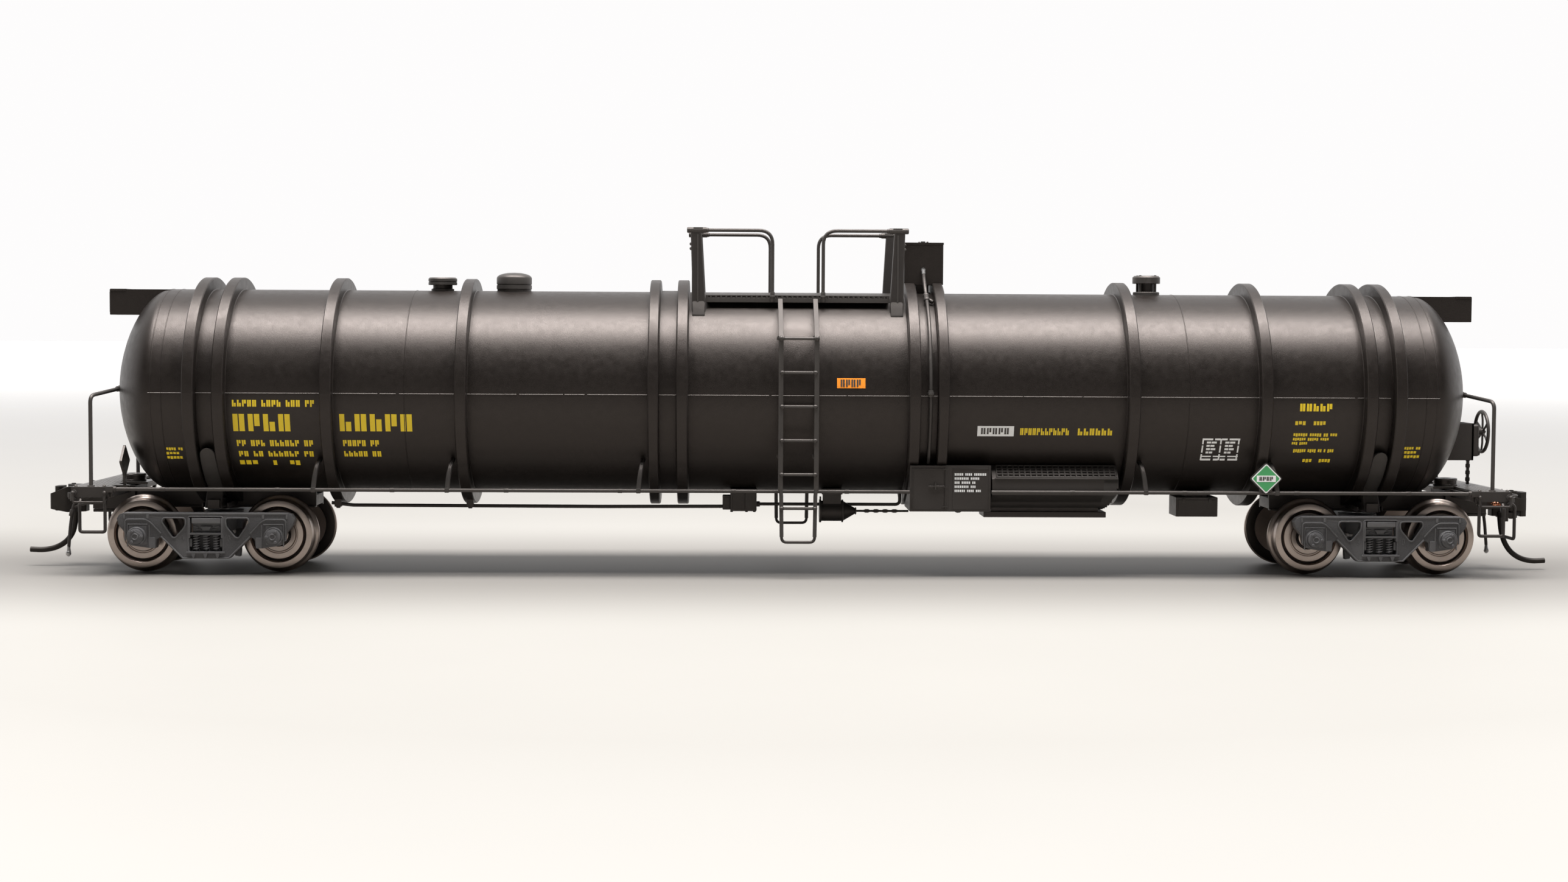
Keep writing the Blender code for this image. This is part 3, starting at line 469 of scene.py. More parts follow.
def head_profile(steps=18):
    points = []
    for i in range(1, steps + 1):
        angle = math.pi / 2 * i / steps
        out = (TANK_TIP - HEAD_START) * math.sin(angle) ** (2 / HEAD_POWER)
        radius = TANK_RADIUS * max(math.cos(angle), 0.0) ** (2 / HEAD_POWER)
        points.append((HEAD_START + out, radius if i < steps else 0.0))
    return points


def tank_profile():
    """Half of the tank's outline: rings with eased corners, scribed seams, then the head."""
    shell, band, edge = TANK_RADIUS, TANK_RADIUS + 0.2, 0.13
    events = [(place, "ring") for place in RINGS] + [(58.75, "seam"), (94.7, "seam"), (96.3, "seam")]
    half = [(0.0, shell)]
    for place, kind in sorted(events):
        if kind == "seam":
            half += [(place - 0.09, shell), (place - 0.03, shell + 0.05), (place + 0.03, shell + 0.05),
                     (place + 0.09, shell)]
            continue
        before = band if place == RINGS[1] else shell
        after = band if place == RINGS[0] else shell
        reach = (RING_WIDTH - (0.15 if place == RINGS[1] else 0)) / 2
        half += [(place - reach - 0.1, before), (place - reach, before + 0.1),
                 (place - reach, RING_RADIUS - edge), (place - reach + edge, RING_RADIUS),
                 (place + reach - edge, RING_RADIUS), (place + reach, RING_RADIUS - edge),
                 (place + reach, after + 0.1), (place + reach + 0.1, after)]
    half.append((HEAD_START, shell))
    half += head_profile()
    return [(-x, r) for x, r in reversed(half[1:])] + half[1:]


def make_tank():
    for name, start in (("tank_shell_upper", 90), ("tank_shell_lower", 270)):
        bm = bmesh.new()
        lathe(bm, tank_profile(), "X", (0, 0, TANK_Z), 72, start, 180)
        skin(name, bm, BLACK)

    bm = bmesh.new()
    edges = [0.0] + [e for place in RINGS for e in (place - 0.9, place + 0.9)] + [HEAD_START]
    for low, high in zip(edges[::2], edges[1::2]):
        for sign in (-1, 1):
            if low == 0 and sign < 0:
                continue
            span = (-high, high) if low == 0 else (low, high)
            for side in (-1, 1):
                x = span[0]
                while x < span[1] - 0.3:
                    end = min(x + random.uniform(1.5, 6.0), span[1])
                    radius = TANK_RADIUS + random.uniform(0.0, 0.045)
                    if abs(x) > RINGS[0] and abs(end) < RINGS[1] + 0.1:
                        radius += 0.2
                    line = [(sign * x, side * radius, TANK_Z), (sign * end, side * radius, TANK_Z)]
                    tube(bm, line, 0.06, 6)
                    x = end + (random.uniform(0.05, 0.5) if random.random() < 0.3 else 0.0)
    finish("tank_parting_flash", bm, TRIM_BLACK, "wagon_body")


def make_end_boxes():
    low, high = extent("end_box_b")

    def build(bm):
        box(bm, (low.x, high.x), (low.y, high.y), (low.z, high.z), 0.12)
        box(bm, (high.x - 2.6, high.x - 0.12), (low.y - 0.1, high.y + 0.1),
            (high.z - 0.25, high.z + 0.05), 0.05)
        box(bm, (high.x - 0.1, high.x + 0.12), (low.y + 0.4, high.y - 0.4), (low.z + 0.4, high.z - 0.4), 0.08)
    both_ends(build, "end_box_#_skin", BLACK, stands_for="end_box_#")


def make_caps():
    crown = TANK_Z + TANK_RADIUS
    low = [(crown - 0.8, 0), (crown - 0.8, 1.75), (crown + 0.25, 1.75), (crown + 0.35, 1.5), (43.9, 1.5),
           (43.9, 2.16), (43.95, 2.21), (44.3, 2.21), (44.34, 2.12), (44.42, 2.12), (44.46, 2.21),
           (44.85, 2.21), (45.05, 2.0), (45.05, 1.2), (44.95, 1.05), (44.95, 0)]
    high = [(crown - 0.8, 0), (crown - 0.8, 2.05), (43.35, 2.05), (43.45, 1.95), (43.45, 1.2),
            (44.75, 1.2), (44.75, 2.1), (44.8, 2.15), (45.7, 2.15), (45.95, 1.9), (46.0, 1.2), (46.0, 0)]
    dome = [(crown - 0.8, 0), (crown - 0.8, 2.62), (43.3, 2.62), (43.34, 2.72), (43.9, 2.72),
            (43.94, 2.62), (44.04, 2.62), (44.08, 2.72), (45.0, 2.72), (45.25, 2.62), (45.5, 2.3),
            (45.68, 1.8), (45.82, 1.1), (45.87, 0)]
    for name, profile, x in (("vent_cap_a", low, -54.85), ("vent_cap_b", high, 54.87),
                             ("dome_cap", dome, -43.78)):
        bm = bmesh.new()
        lathe(bm, profile, "Z", (x, 0, 0), 56)
        if name == "vent_cap_b":
            for i in range(4):
                angle = math.radians(45 + 90 * i)
                at = (x + 1.65 * math.cos(angle), 1.65 * math.sin(angle))
                rod(bm, (*at, 43.4), (*at, 44.9), 0.22, sides=10)
                rod(bm, (*at, 45.9), (*at, 46.06), 0.2, sides=6)
        if name == "dome_cap":
            box(bm, (x - 0.5, x + 0.5), (2.4, 3.0), (43.2, 44.9), 0.08)
            for i in range(8):
                angle = math.radians(22.5 + 45 * i)
                at = (x + 2.35 * math.cos(angle), 2.35 * math.sin(angle))
                ball(bm, (*at, 45.22), 0.16)
        skin(name, bm, TRIM_BLACK)


# ---------------------------------------------------------------- walkways and valve gear

def make_walkways():
    half, outer, inner, hoop_x = 14.0, 8.7, 4.4, 3.85
    for side, name in ((-1, "near"), (1, "far")):
        bm = bmesh.new()
        ys = sorted((side * inner, side * outer))
        for edge in (side * (inner + 0.2), side * (outer - 0.2)):
            box(bm, (-half, half), (edge - 0.2, edge + 0.2), (WALKWAY_TOP - 0.14, WALKWAY_TOP), 0.04)
        for end in (-half + 0.2, half - 0.2):
            box(bm, (end - 0.2, end + 0.2), ys, (WALKWAY_TOP - 0.5, WALKWAY_TOP), 0.05)
        for i in range(35):
            x = -half + 0.8 + i * (2 * half - 1.6) / 34
            box(bm, (x - 0.13, x + 0.13), ys, (WALKWAY_TOP - 0.5, WALKWAY_TOP - 0.04), 0.03, 1)
        for i in range(5):
            y = side * (inner + 0.75 + i * 0.72)
            box(bm, (-half, half), (y - 0.1, y + 0.1), (WALKWAY_TOP - 0.14, WALKWAY_TOP - 0.03), 0.03, 1)
        lip = side * (outer - 0.12)
        box(bm, (-half - 0.05, half + 0.05), (lip - 0.12, lip + 0.12),
            (WALKWAY_TOP - 1.1, WALKWAY_TOP - 0.45), 0.05)
        tray = sorted((side * (inner + 0.1), side * (outer - 0.2)))
        box(bm, (-half, half), tray, (WALKWAY_TOP - 0.75, WALKWAY_TOP - 0.52), 0.05)
        y = side * (outer + 0.3)
        for end in (-1, 1):
            outline = [(end * 14.05, 39.2), (end * 15.95, 39.2), (end * 16.1, 40.4), (end * 16.1, 46.0),
                       (end * 16.3, 52.2), (end * 14.65, 52.2), (end * 14.3, 46.0), (end * 14.0, 40.4)]
            plate(bm, "XZ", [outline], (side * (outer + 0.72), side * (outer - 0.1)), 0.14, 2, (0.28, 0.1))
            foot = [(0.6, 41.6), (1.45, 39.6), (1.45, 39.15), (1.1, 39.05), (-0.1, 40.0), (-0.1, 41.6)]
            plate(bm, "YZ", [[(side * (outer + out), z) for out, z in foot]], (end * 14.12, end * 16.0), 0.12)
            spine = end * 15.2
            box(bm, (spine - 0.14, spine + 0.14), (side * (outer + 0.45), side * (outer + 0.7)),
                (40.6, 51.6), 0.06)
            rod(bm, (end * 13.85, y, HOOP_TOP), (end * 16.85, y, HOOP_TOP), 0.44, sides=16, bevel=0.16)
            for z in (50.2, 49.5):
                ball(bm, (end * 16.2, y, z), 0.26)
            box(bm, (end * 14.4, end * 15.9), (y - 0.4, y + 0.4), (52.2, 52.74), 0.16)
            x = end * hoop_x
            route = [(end * 14.2, y, HOOP_TOP), (x, y, HOOP_TOP), (x, y, WALKWAY_TOP - 0.3)]
            tube(bm, rounded(route, 2.1, 8), 0.27, 14)
            ball(bm, (x, y, WALKWAY_TOP - 0.25), 0.42)
            rod(bm, (x, y, WALKWAY_TOP - 1.1), (x, y, WALKWAY_TOP + 0.5), 0.36, sides=14, bevel=0.08)
            ball(bm, (end * 13.75, y, HOOP_TOP), 0.36)
        skin(f"walkway_{name}", bm, TRIM_BLACK)


def make_valve_gear():
    low, high = extent("valve_box")
    bm = bmesh.new()
    top = high.z - 0.4
    box(bm, (low.x, high.x), (low.y, high.y), (44.3, top), 0.1)
    box(bm, (low.x - 0.02, high.x + 0.06), (low.y - 0.06, high.y + 0.06), (top - 0.3, top + 0.04), 0.06)
    box(bm, (18.6, 20.5), (-2.5, 2.5), (42.2, 44.9), 0.05)
    rod(bm, (19.8, 0, top), (19.8, 0, top + 0.32), 0.42, sides=6, bevel=0.06)
    for x, y in ((19.1, -1.3), (20.6, 1.2), (20.3, -2.2)):
        ball(bm, (x, y, top + 0.08), 0.17)
    skin("valve_box", bm, BLACK)

    x, reach = 19.75, 16.5
    angles = [math.radians(114 + i * 4) for i in range(29)]
    route = [(x - 0.2, -3.9, 46.55), (x - 0.15, -4.4, 45.4), (x - 0.05, -5.4, 43.8), (x, -6.1, 43.0)]
    route += [(x, reach * math.cos(a), TANK_Z + reach * math.sin(a)) for a in angles]
    route = [p for p in route if p[2] > 17.1]
    bm = bmesh.new()
    tube(bm, rounded(route, 0.6, 3), 0.27, 12)
    rod(bm, (x, -reach, 27.35), (x, -reach, 28.35), 0.42, sides=8, bevel=0.06)
    rod(bm, (x, -reach, 27.65), (x, -reach, 28.05), 0.52, sides=8, bevel=0.06)
    for y, z in ((-6.6, 42.6), (-7.9, 41.95)):
        ball(bm, (x, y, z), 0.48)
    rod(bm, (x, -6.6, 42.6), (x, -7.9, 41.95), 0.4, sides=10, bevel=0.05)
    rod(bm, (x - 0.2, -7.4, 42.2), (x + 0.95, -7.9, 41.6), 0.32, sides=10, bevel=0.05)
    skin("valve_pipe", bm, TRIM_BLACK)
    bm = bmesh.new()
    rod(bm, (x - 0.2, -3.1, 46.6), (x - 0.2, -4.0, 46.6), 0.34, sides=16, bevel=0.08)
    tube(bm, [(x - 0.2, -3.9, 46.6), (x - 0.18, -4.15, 45.95)], 0.3, 12)
    finish("valve_nozzle", bm, STEEL, "wagon_body")


# ---------------------------------------------------------------- ladders and side rails

def make_ladders():
    half, out, pitch, lowest = 2.67, 16.8, 5.07, 5.57
    for side, name in ((-1, "near"), (1, "far")):
        y = side * out
        bm = bmesh.new()
        for x in (-half, half):
            back, front = y - side * 0.2, y + side * 0.2
            outline = [(front, 13.2), (front, 36.3), (side * 9.75, 42.0), (side * 9.3, 41.7), (back, 36.1),
                       (back, 13.2)]
            plate(bm, "YZ", [outline], (x - 0.36, x + 0.36), 0.07)
            for z in (36.0, 18.3):
                inner = side * (math.sqrt(TANK_RADIUS ** 2 - (z - TANK_Z) ** 2) - 0.3)
                rod(bm, (x, y, z), (x, inner, z), 0.26, sides=12)
                rod(bm, (x, inner + side * 0.5, z), (x, inner, z), 0.55, sides=14, bevel=0.1)
                if z > TANK_Z:
                    ball(bm, (x, y + side * 0.2, z), 0.4)
        bend, foot = half - 0.12, half - 0.2
        step = [(-half, y, 14.4), (-bend, y, 12.5), (-foot, y, lowest), (foot, y, lowest), (bend, y, 12.5),
                (half, y, 14.4)]
        tube(bm, rounded(step, 0.8, 6), 0.23, 12)
        for way in (-1, 1):
            leg = [(way * half, y, 14.0), (way * bend, y, 12.5), (way * foot, y, lowest + 0.8)]
            tube(bm, leg, 0.33, 12, 0.8)
        for i in range(1, 7):
            z = lowest + i * pitch
            rod(bm, (-half - 0.1, y, z), (half + 0.1, y, z), 0.23, sides=14)
            for x in (-half, half):
                ball(bm, (x - math.copysign(0.2, x), y + side * 0.18, z), 0.32, (1.2, 1, 1))
        skin(f"ladder_{name}", bm, TRIM_BLACK)


def diamond(centre, reach):
    u, v = centre
    return [(u + reach, v), (u, v + reach), (u - reach, v), (u, v - reach)]


def placard(x, y, z, side, name):
    """The printed face of a placard holder: a plain green diamond with a blank white bar."""
    face = y + side * 0.37
    bm = bmesh.new()
    for i in range(4):
        start = x - 1.05 + i * 0.54
        for left, right, low in ((0, 0.2, z - 0.3), (0.26, 0.42, z - 0.3 + 0.2 * (i % 2))):
            a, b = start + left, start + right
            plate(bm, "XZ", [[(a, low), (b, low), (b, z + 0.3), (a, z + 0.3)]],
                  (face + side * 0.08, face - side * 0.1), 0)
    finish(f"placard_{name}_blocks", bm, TRIM_BLACK, "wagon_body")
    for label, loops, lift, material in (
            ("border", [smooth_loop(diamond((x, z), 2.28), 0.25)], 0.02, WHITE),
            ("field", [smooth_loop(diamond((x, z), 2.04), 0.2)], 0.04, GREEN),
            ("bar", [smooth_loop([(x - 1.45, z - 0.48), (x + 1.45, z - 0.48), (x + 1.45, z + 0.48),
                                  (x - 1.45, z + 0.48)], 0.1)], 0.06, WHITE)):
        bm = bmesh.new()
        plate(bm, "XZ", loops, (face + side * lift, face - side * 0.1), 0)
        finish(f"placard_{name}_{label}", bm, material, "wagon_body")


def make_side_rails():
    for name, side, placard_x in (("near_a", -1, None), ("near_b", -1, 70.6), ("far", 1, -70.6)):
        low, high = extent(f"side_rail_{name}")
        y = side * RAIL_Y
        bm = bmesh.new()
        rod(bm, (low.x, y, RAIL_Z), (high.x, y, RAIL_Z), 0.28, sides=18)
        for ring in RINGS[1:4]:
            for place in (-ring, ring):
                out = math.copysign(1, place)
                x = place + out * (RING_WIDTH / 2 + 0.85)
                if not low.x < x < high.x:
                    continue
                foot = x + out * 0.5
                curve = [(x - out * 0.1, side * 12.0, 17.5), (x + out * 0.05, side * 13.6, 16.9),
                         (x + out * 0.3, side * 14.6, 15.2), (foot, y, RAIL_Z)]
                for shift_x in (-0.15, 0.0, 0.15):
                    tube(bm, [(u + shift_x, v, w) for u, v, w in rounded(curve, 1.2, 4)], 0.22, 10)
                box(bm, (foot - 0.35, foot + 0.35), (y - 0.36, y + 0.36),
                    (RAIL_Z - 0.36, RAIL_Z + 0.36), 0.12)
        for x in range(-95, 101, 17):
            if low.x < x < high.x - 1:
                rod(bm, (x, y, RAIL_Z), (x + 0.7, y, RAIL_Z), 0.33, sides=14, bevel=0.04)
        if placard_x is not None:
            holder = smooth_loop(diamond((placard_x, 15.25), 2.5), 0.3)
            plate(bm, "XZ", [holder], (y + side * 0.37, y + side * 0.02), 0.08)
            for x in (placard_x - 0.75, placard_x + 0.75):
                box(bm, (x - 0.2, x + 0.2), (y - 0.25, y + 0.25), (RAIL_Z, RAIL_Z + 1.5), 0.06)
        skin(f"side_rail_{name}", bm, TRIM_BLACK)
        if placard_x is not None:
            placard(placard_x, y, 15.25, side, name)


# ---------------------------------------------------------------- equipment

def make_cabinet():
    low, high = CABINET_LOW, CABINET_HIGH
    face = low.y
    bm = bmesh.new()
    box(bm, (low.x, high.x), (face + 0.15, high.y), (low.z, high.z), 0.12)

    def strip(x0, x1, z0, z1, out):
        box(bm, (low.x + x0, low.x + x1), (face - out + 0.1, face + 0.3), (low.z + z0, low.z + z1), 0.06)
    for edges in ((0.0, 12.24, 0.0, 6.95, 0.0), (0.3, 5.15, 0.35, 6.6, 0.07),
                  (0.45, 5.0, 6.42, 6.52, 0.16), (0.38, 0.46, 0.45, 6.5, 0.16),
                  (5.25, 5.8, 0.3, 6.75, 0.12), (5.35, 5.5, 0.5, 6.55, 0.22),
                  (6.45, 12.0, 0.35, 6.6, 0.07), (6.55, 11.85, 6.42, 6.52, 0.16),
                  (11.9, 12.1, 0.2, 6.8, 0.16)):
        strip(*edges)
    for z in (0.65, 3.6, 6.3):
        strip(4.85, 5.75, z, z + 0.16, 0.24)
    x, z = low.x + 3.85, low.z + 3.85
    rod(bm, (low.x + 2.8, face - 0.16, z), (low.x + 5.2, face - 0.16, z), 0.1, sides=10)
    rod(bm, (x, face - 0.16, low.z + 3.35), (x, face - 0.16, low.z + 4.4), 0.14, sides=10)
    rod(bm, (x, face + 0.1, z), (x, face - 0.3, z), 0.24, sides=12, bevel=0.06)
    ball(bm, (low.x + 7.4, face + 1.0, low.z - 0.02), 0.36, (1.4, 1, 0.6))
    skin("equipment_cabinet", bm, FRAME_BLACK)


def make_vaporizer():
    left, right_end, right = 29.3, HOUSING_HIGH.x, HOUSING_HIGH.x - 2.2
    front = [(-4.5, 10.0), (-4.5, 16.9), (-12.1, 16.9), (-14.3, 15.05), (-14.4, 14.9), (-14.4, 12.6)]
    front += arc((-8.9, 13.6), 3.65, 215, 262, 8)
    bm = bmesh.new()
    plate(bm, "YZ", [front], (left, right), 0.1)
    for i in range(8):
        start, end = i / 8, (i + 1) / 8
        lift = 3.6 * (1 - math.sqrt(1 - end ** 2))
        ring = [(y, max(z, 10.0 + lift)) for y, z in front]
        plate(bm, "YZ", [ring], (right + 2.2 * start - 0.02, right + 2.2 * end), 0)
    box(bm, (28.4, 47.1), (-11.2, -5.0), (8.95, 9.8), 0.1)
    box(bm, (29.6, 46.0), (-10.6, -5.6), (9.6, 10.6), 0.05)

    slope = Vector((0, -14.3 + 12.1, 15.05 - 16.9))
    lie = Vector((0, slope.z, -slope.y)).normalized()
    x0, x1 = left + 0.75, right_end - 0.3

    def on_slope(x, down, out=0.0):
        return Vector((x, -12.1, 16.9)) + slope * down + lie * out
    for down in (0.04, 0.28, 0.5, 0.72, 0.94):
        tube(bm, [on_slope(x0, down, 0.12), on_slope(x1, down, 0.12)], 0.13 if down > 0.3 else 0.1, 8)
    for i in range(22):
        x = x0 + (x1 - x0) * i / 21
        tube(bm, [on_slope(x, 0.04, 0.1), on_slope(x, 0.94, 0.1)], 0.13, 8)
    tube(bm, [on_slope(x0 - 0.4, 1.03, 0.1), on_slope(x1 + 0.25, 1.03, 0.1)], 0.14, 8)
    skin("vaporizer_housing", bm, FRAME_BLACK)


def make_tool_box():
    low, high = extent("tool_box")
    bm = bmesh.new()
    box(bm, (low.x, high.x), (low.y, high.y), (low.z, high.z - 0.7), 0.12)
    box(bm, (low.x + 0.3, high.x - 0.3), (low.y - 0.08, low.y + 0.3), (low.z + 0.3, high.z - 1.1), 0.06)
    box(bm, (low.x + 1.5, high.x - 1.5), (low.y + 1, high.y - 0.6), (high.z - 0.9, high.z), 0.06)
    for x in (low.x + 1.2, high.x - 1.2):
        box(bm, (x - 0.25, x + 0.25), (low.y - 0.2, low.y + 0.2), (high.z - 1.5, high.z - 0.9), 0.06)
    skin("tool_box", bm, FRAME_BLACK)


def make_brake_gear():
    y, z = -5.0, 10.0
    bm = bmesh.new()
    route = [(-71.3, y, z + 0.35), (-68, y, z), (-30, y, z - 0.1), (-9.0, y, z)]
    tube(bm, route, 0.27, 12)
    branch = [(-9.0, -3.4, 10.25), (16.2, -3.4, 10.25), (16.2, -3.4, 12.5)]
    tube(bm, rounded(branch, 0.7, 5), 0.25, 12)
    rod(bm, (-6.1, -3.4, 10.25), (-5.5, -3.4, 10.25), 0.42, sides=12, bevel=0.06)
    box(bm, (-10.1, -6.05), (-6.5, -3.1), (9.35, 12.8), 0.15)
    box(bm, (-9.75, -7.95), (-6.62, -6.3), (9.6, 12.4), 0.06)
    box(bm, (-7.8, -6.2), (-6.6, -6.3), (9.6, 12.4), 0.06)
    box(bm, (-11.3, -9.9), (-6.1, -3.9), (9.55, 11.75), 0.15)
    box(bm, (-11.1, -10.25), (-6.2, -5.9), (9.9, 11.4), 0.06)
    for x in (-9.9, -7.6, -6.4):
        rod(bm, (x, -6.0, 9.45), (x, -6.0, 9.2), 0.22, sides=8, bevel=0.05)
    for x in (-70.3, -50.1):
        box(bm, (x - 0.55, x + 0.55), (y - 0.45, y + 0.45), (9.75, 11.2), 0.12)
        rod(bm, (x - 0.3, y, 9.95), (x + 0.3, y, 9.95), 0.42, sides=14, bevel=0.06)
    finish("brake_pipe_skin", bm, FRAME_BLACK, "wagon_body", ["brake_pipe_and_valve"])

    bm = bmesh.new()
    y, z = -5.6, 9.4
    body = [(3.6, 0), (3.6, 1.74), (3.66, 1.8), (3.86, 1.8), (3.92, 1.74), (3.92, 1.57), (7.05, 1.57),
            (7.05, 1.7), (7.1, 1.76), (7.25, 1.76), (7.3, 1.7), (7.34, 1.5), (9.1, 0.46), (9.15, 0.55),
            (9.3, 0.55), (9.35, 0.4), (9.35, 0)]
    lathe(bm, body, "X", (0, y, z), 40)
    box(bm, (4.15, 6.95), (-6.65, -4.6), (9.9, 12.9), 0.12)
    box(bm, (3.95, 7.15), (-6.8, -4.4), (12.0, 12.5), 0.1)
    box(bm, (3.65, 3.9), (-6.1, -5.2), (11.0, 11.6), 0.06)
    tube(bm, [(9.0, y, z), (17.4, y, z)], 0.17, 10)
    for i in range(4):
        x = 10.95 + i * 1.43
        for step_z in (-0.1, 0.1):
            tube(bm, [(x - 0.42, y, z), (x - 0.2, y, z + step_z), (x + 0.2, y, z + step_z), (x + 0.42, y, z)],
                 0.18, 8)
    finish("brake_cylinder_skin", bm, FRAME_BLACK, "wagon_body", ["brake_cylinder_and_rod"])


# ---------------------------------------------------------------- ends

def strap(bm, way):
    """The bolster's upright: a flat bar with a round top that follows the tank, between two rings."""
    x, low, high, half, thick, ease = sum(RINGS[4:]) / 2, 9.9, 19.2, 1.2, 1.2, 0.12
    bend, foot = 13.2, 10.4
    part, rows, sheets = bmesh.new(), 26, ([], [])
    for i in range(rows + 1):
        z = low + (high - low) * math.sin(math.pi / 2 * i / rows)
        reach = math.sqrt((TANK_RADIUS + 1.15) ** 2 - (max(z, bend) - TANK_Z) ** 2)
        if z <= bend:
            reach = foot + (reach - foot) * (z - low) / (bend - low)
        wide = half if z < high - half else math.sqrt(max(half ** 2 - (z - high + half) ** 2, 0.003))
        for sheet, depth, edge in ((sheets[0], 0.0, ease), (sheets[1], thick, 0.0)):
            row = []
            for u in (-1, 1):
                row.append((u * wide, depth + edge))
                row.append((u * max(wide - ease, wide * 0.6), depth))
            row = [row[0], row[1], row[3], row[2]]
            sheet.append([part.verts.new(Vector((x + u, way * (reach - d), z)) * MM) for u, d in row])
    front, back = sheets
    for i in range(rows):
        for k in range(3):
            part.faces.new((front[i][k], front[i][k + 1], front[i + 1][k + 1], front[i + 1][k]))
            part.faces.new((back[i][k], back[i + 1][k], back[i + 1][k + 1], back[i][k + 1]))
        for k in (0, 3):
            part.faces.new((front[i][k], front[i + 1][k], back[i + 1][k], back[i][k]))
    for i in (0, rows):
        for k in range(3):
            part.faces.new((front[i][k], front[i][k + 1], back[i][k + 1], back[i][k]))
    bmesh.ops.recalc_face_normals(part, faces=part.faces)
    merge(bm, part)


def end_frame(bm):
    """Stub sill, curved bolster uprights, end sill, corner castings, steps and the air hose."""
    for y in (-2.9, 2.9):
        box(bm, (SILL_INNER, SILL_OUTER), (y - 0.3, y + 0.3), (9.5, 11.9), 0.08)
    box(bm, (SILL_INNER, SILL_OUTER), (-2.7, 2.7), (9.75, 11.4), 0.05)
    for y in (-3.2, 3.2):
        box(bm, (SILL_INNER + 0.1, SILL_OUTER), (y - 0.45, y + 0.45), (9.5, 9.75), 0.06)
    rod(bm, (TRUCK_X, 0, 9.2), (TRUCK_X, 0, 9.9), 2.6, sides=40, bevel=0.1)

    for way in (-1, 1):
        strap(bm, way)
    box(bm, (BOLSTER_X - 0.9, BOLSTER_X + 0.9), (-10.8, 10.8), (9.8, 11.2), 0.1)
    for way in (-1, 1):
        for x in (BOLSTER_X - 1.9, BOLSTER_X + 1.9):
            box(bm, (x - 0.12, x + 0.12), (way * 3, way * 9.5), (9.9, 10.6), 0.05)

    wall = 0.5
    for y in (-3.7 + wall / 2, 3.7 - wall / 2):
        box(bm, (POCKET_INNER, POCKET_OUTER), (y - wall / 2, y + wall / 2), (9.2, 12.8), 0.08)
    box(bm, (POCKET_INNER, POCKET_OUTER), (-3.6, 3.6), (11.85, 12.75), 0.06)
    box(bm, (POCKET_INNER, POCKET_INNER + 0.6), (-3.6, 3.6), (9.25, 12.7), 0.06)
    rod(bm, (COUPLER_PIVOT, 0, 9.25), (COUPLER_PIVOT, 0, 12.0), 0.9, sides=24)
    face = DECK_OUTER - 0.1
    box(bm, (107.75, face), (-DECK_HALF_WIDTH + 0.3, DECK_HALF_WIDTH - 0.3), (11.9, 12.95), 0.07)
    box(bm, (107.95, face), (-3.9, 3.9), (11.6, 12.95), 0.06)
    box(bm, (102.4, 102.9), (-13.9, 13.9), (11.75, 12.9), 0.08)
    for way in (-1, 1):
        for y in (4.6, 7.6, 10.6):
            box(bm, (102.6, 108.1), (way * y - 0.12, way * y + 0.12), (11.8, 12.9), 0.04)

    for way in (-1, 1):
        y0, y1 = way * (DECK_HALF_WIDTH - 0.55), way * DECK_HALF_WIDTH
        box(bm, (102.9, 108.35), (y0, y1 + way * 0.04), (11.75, 13.3), 0.07)
        box(bm, (102.7, 103.75), (y0, y1), (11.65, 12.4), 0.08)
        box(bm, (107.1, 108.25), (y0, y1), (10.9, 12.4), 0.08)
        box(bm, (104.4, 107.4), (y0, y1 - way * 0.1), (10.85, 11.15), 0.06)
        for x in (103.2, 107.9):
            rod(bm, (x, y1, 12.5), (x, way * 15.2, 12.5), 0.2, sides=12)
            rod(bm, (x, y1, 12.5), (x, y1 + way * 0.25, 12.5), 0.42, sides=12, bevel=0.08)
            ball(bm, (x, way * 15.2, 12.5), 0.3)
            rod(bm, (x, y1, 11.5), (x, y1 + way * 0.3, 11.5), 0.26, sides=8, bevel=0.05)
        grab = [(103.2, way * 15.2, 12.5), (103.25, way * 15.2, 11.1), (107.85, way * 15.2, 11.1),
                (107.9, way * 15.2, 12.5)]
        tube(bm, rounded(grab, 0.3, 4), 0.17, 12)
        for i, x in enumerate((108.4, 108.9, 109.3)):
            y = way * (14.0 - i * 0.9)
            rod(bm, (x, y, 12.3), (x, y, 11.2 + 0.2 * i), 0.2, sides=10)
        box(bm, (101.9, 103.1), (way * 13.6, way * 15.3), (12.55, 13.45), 0.12)
        rod(bm, (101.5, way * RAIL_Y, RAIL_Z), (102.4, way * RAIL_Y, RAIL_Z), 0.4, sides=14, bevel=0.08)
        y = way * 14.75
        legs = [(103.25, way * 14.2, 11.4), (103.25, y, 10.9), (103.25, y, 6.62), (107.0, y, 6.62),
                (107.0, y, 10.9), (107.0, way * 14.2, 11.4)]
        tube(bm, rounded(legs, 0.4, 4), 0.25, 12)
    tube(bm, loop_route((109.9, -9.0, 11.6), 0.62, 0.95, 28, "X"), 0.18, 10)
    lever = [(108.6, -13.3, 12.6), (109.9, -12.4, 12.6), (109.9, -5.2, 12.7), (110.3, -4.2, 12.9)]
    tube(bm, rounded(lever, 0.5, 4), 0.16, 10)
    route = [(108.2, -13.9, 11.5), (108.95, -13.9, 11.2), (108.95, -13.9, 6.1), (108.95, -9.0, 6.1),
             (108.95, -9.0, 11.2), (108.2, -9.0, 11.5)]
    tube(bm, rounded(route, 0.6, 4), 0.25, 12)
    box(bm, (108.0, 108.75), (-11.9, -10.9), (8.6, 12.4), 0.1)

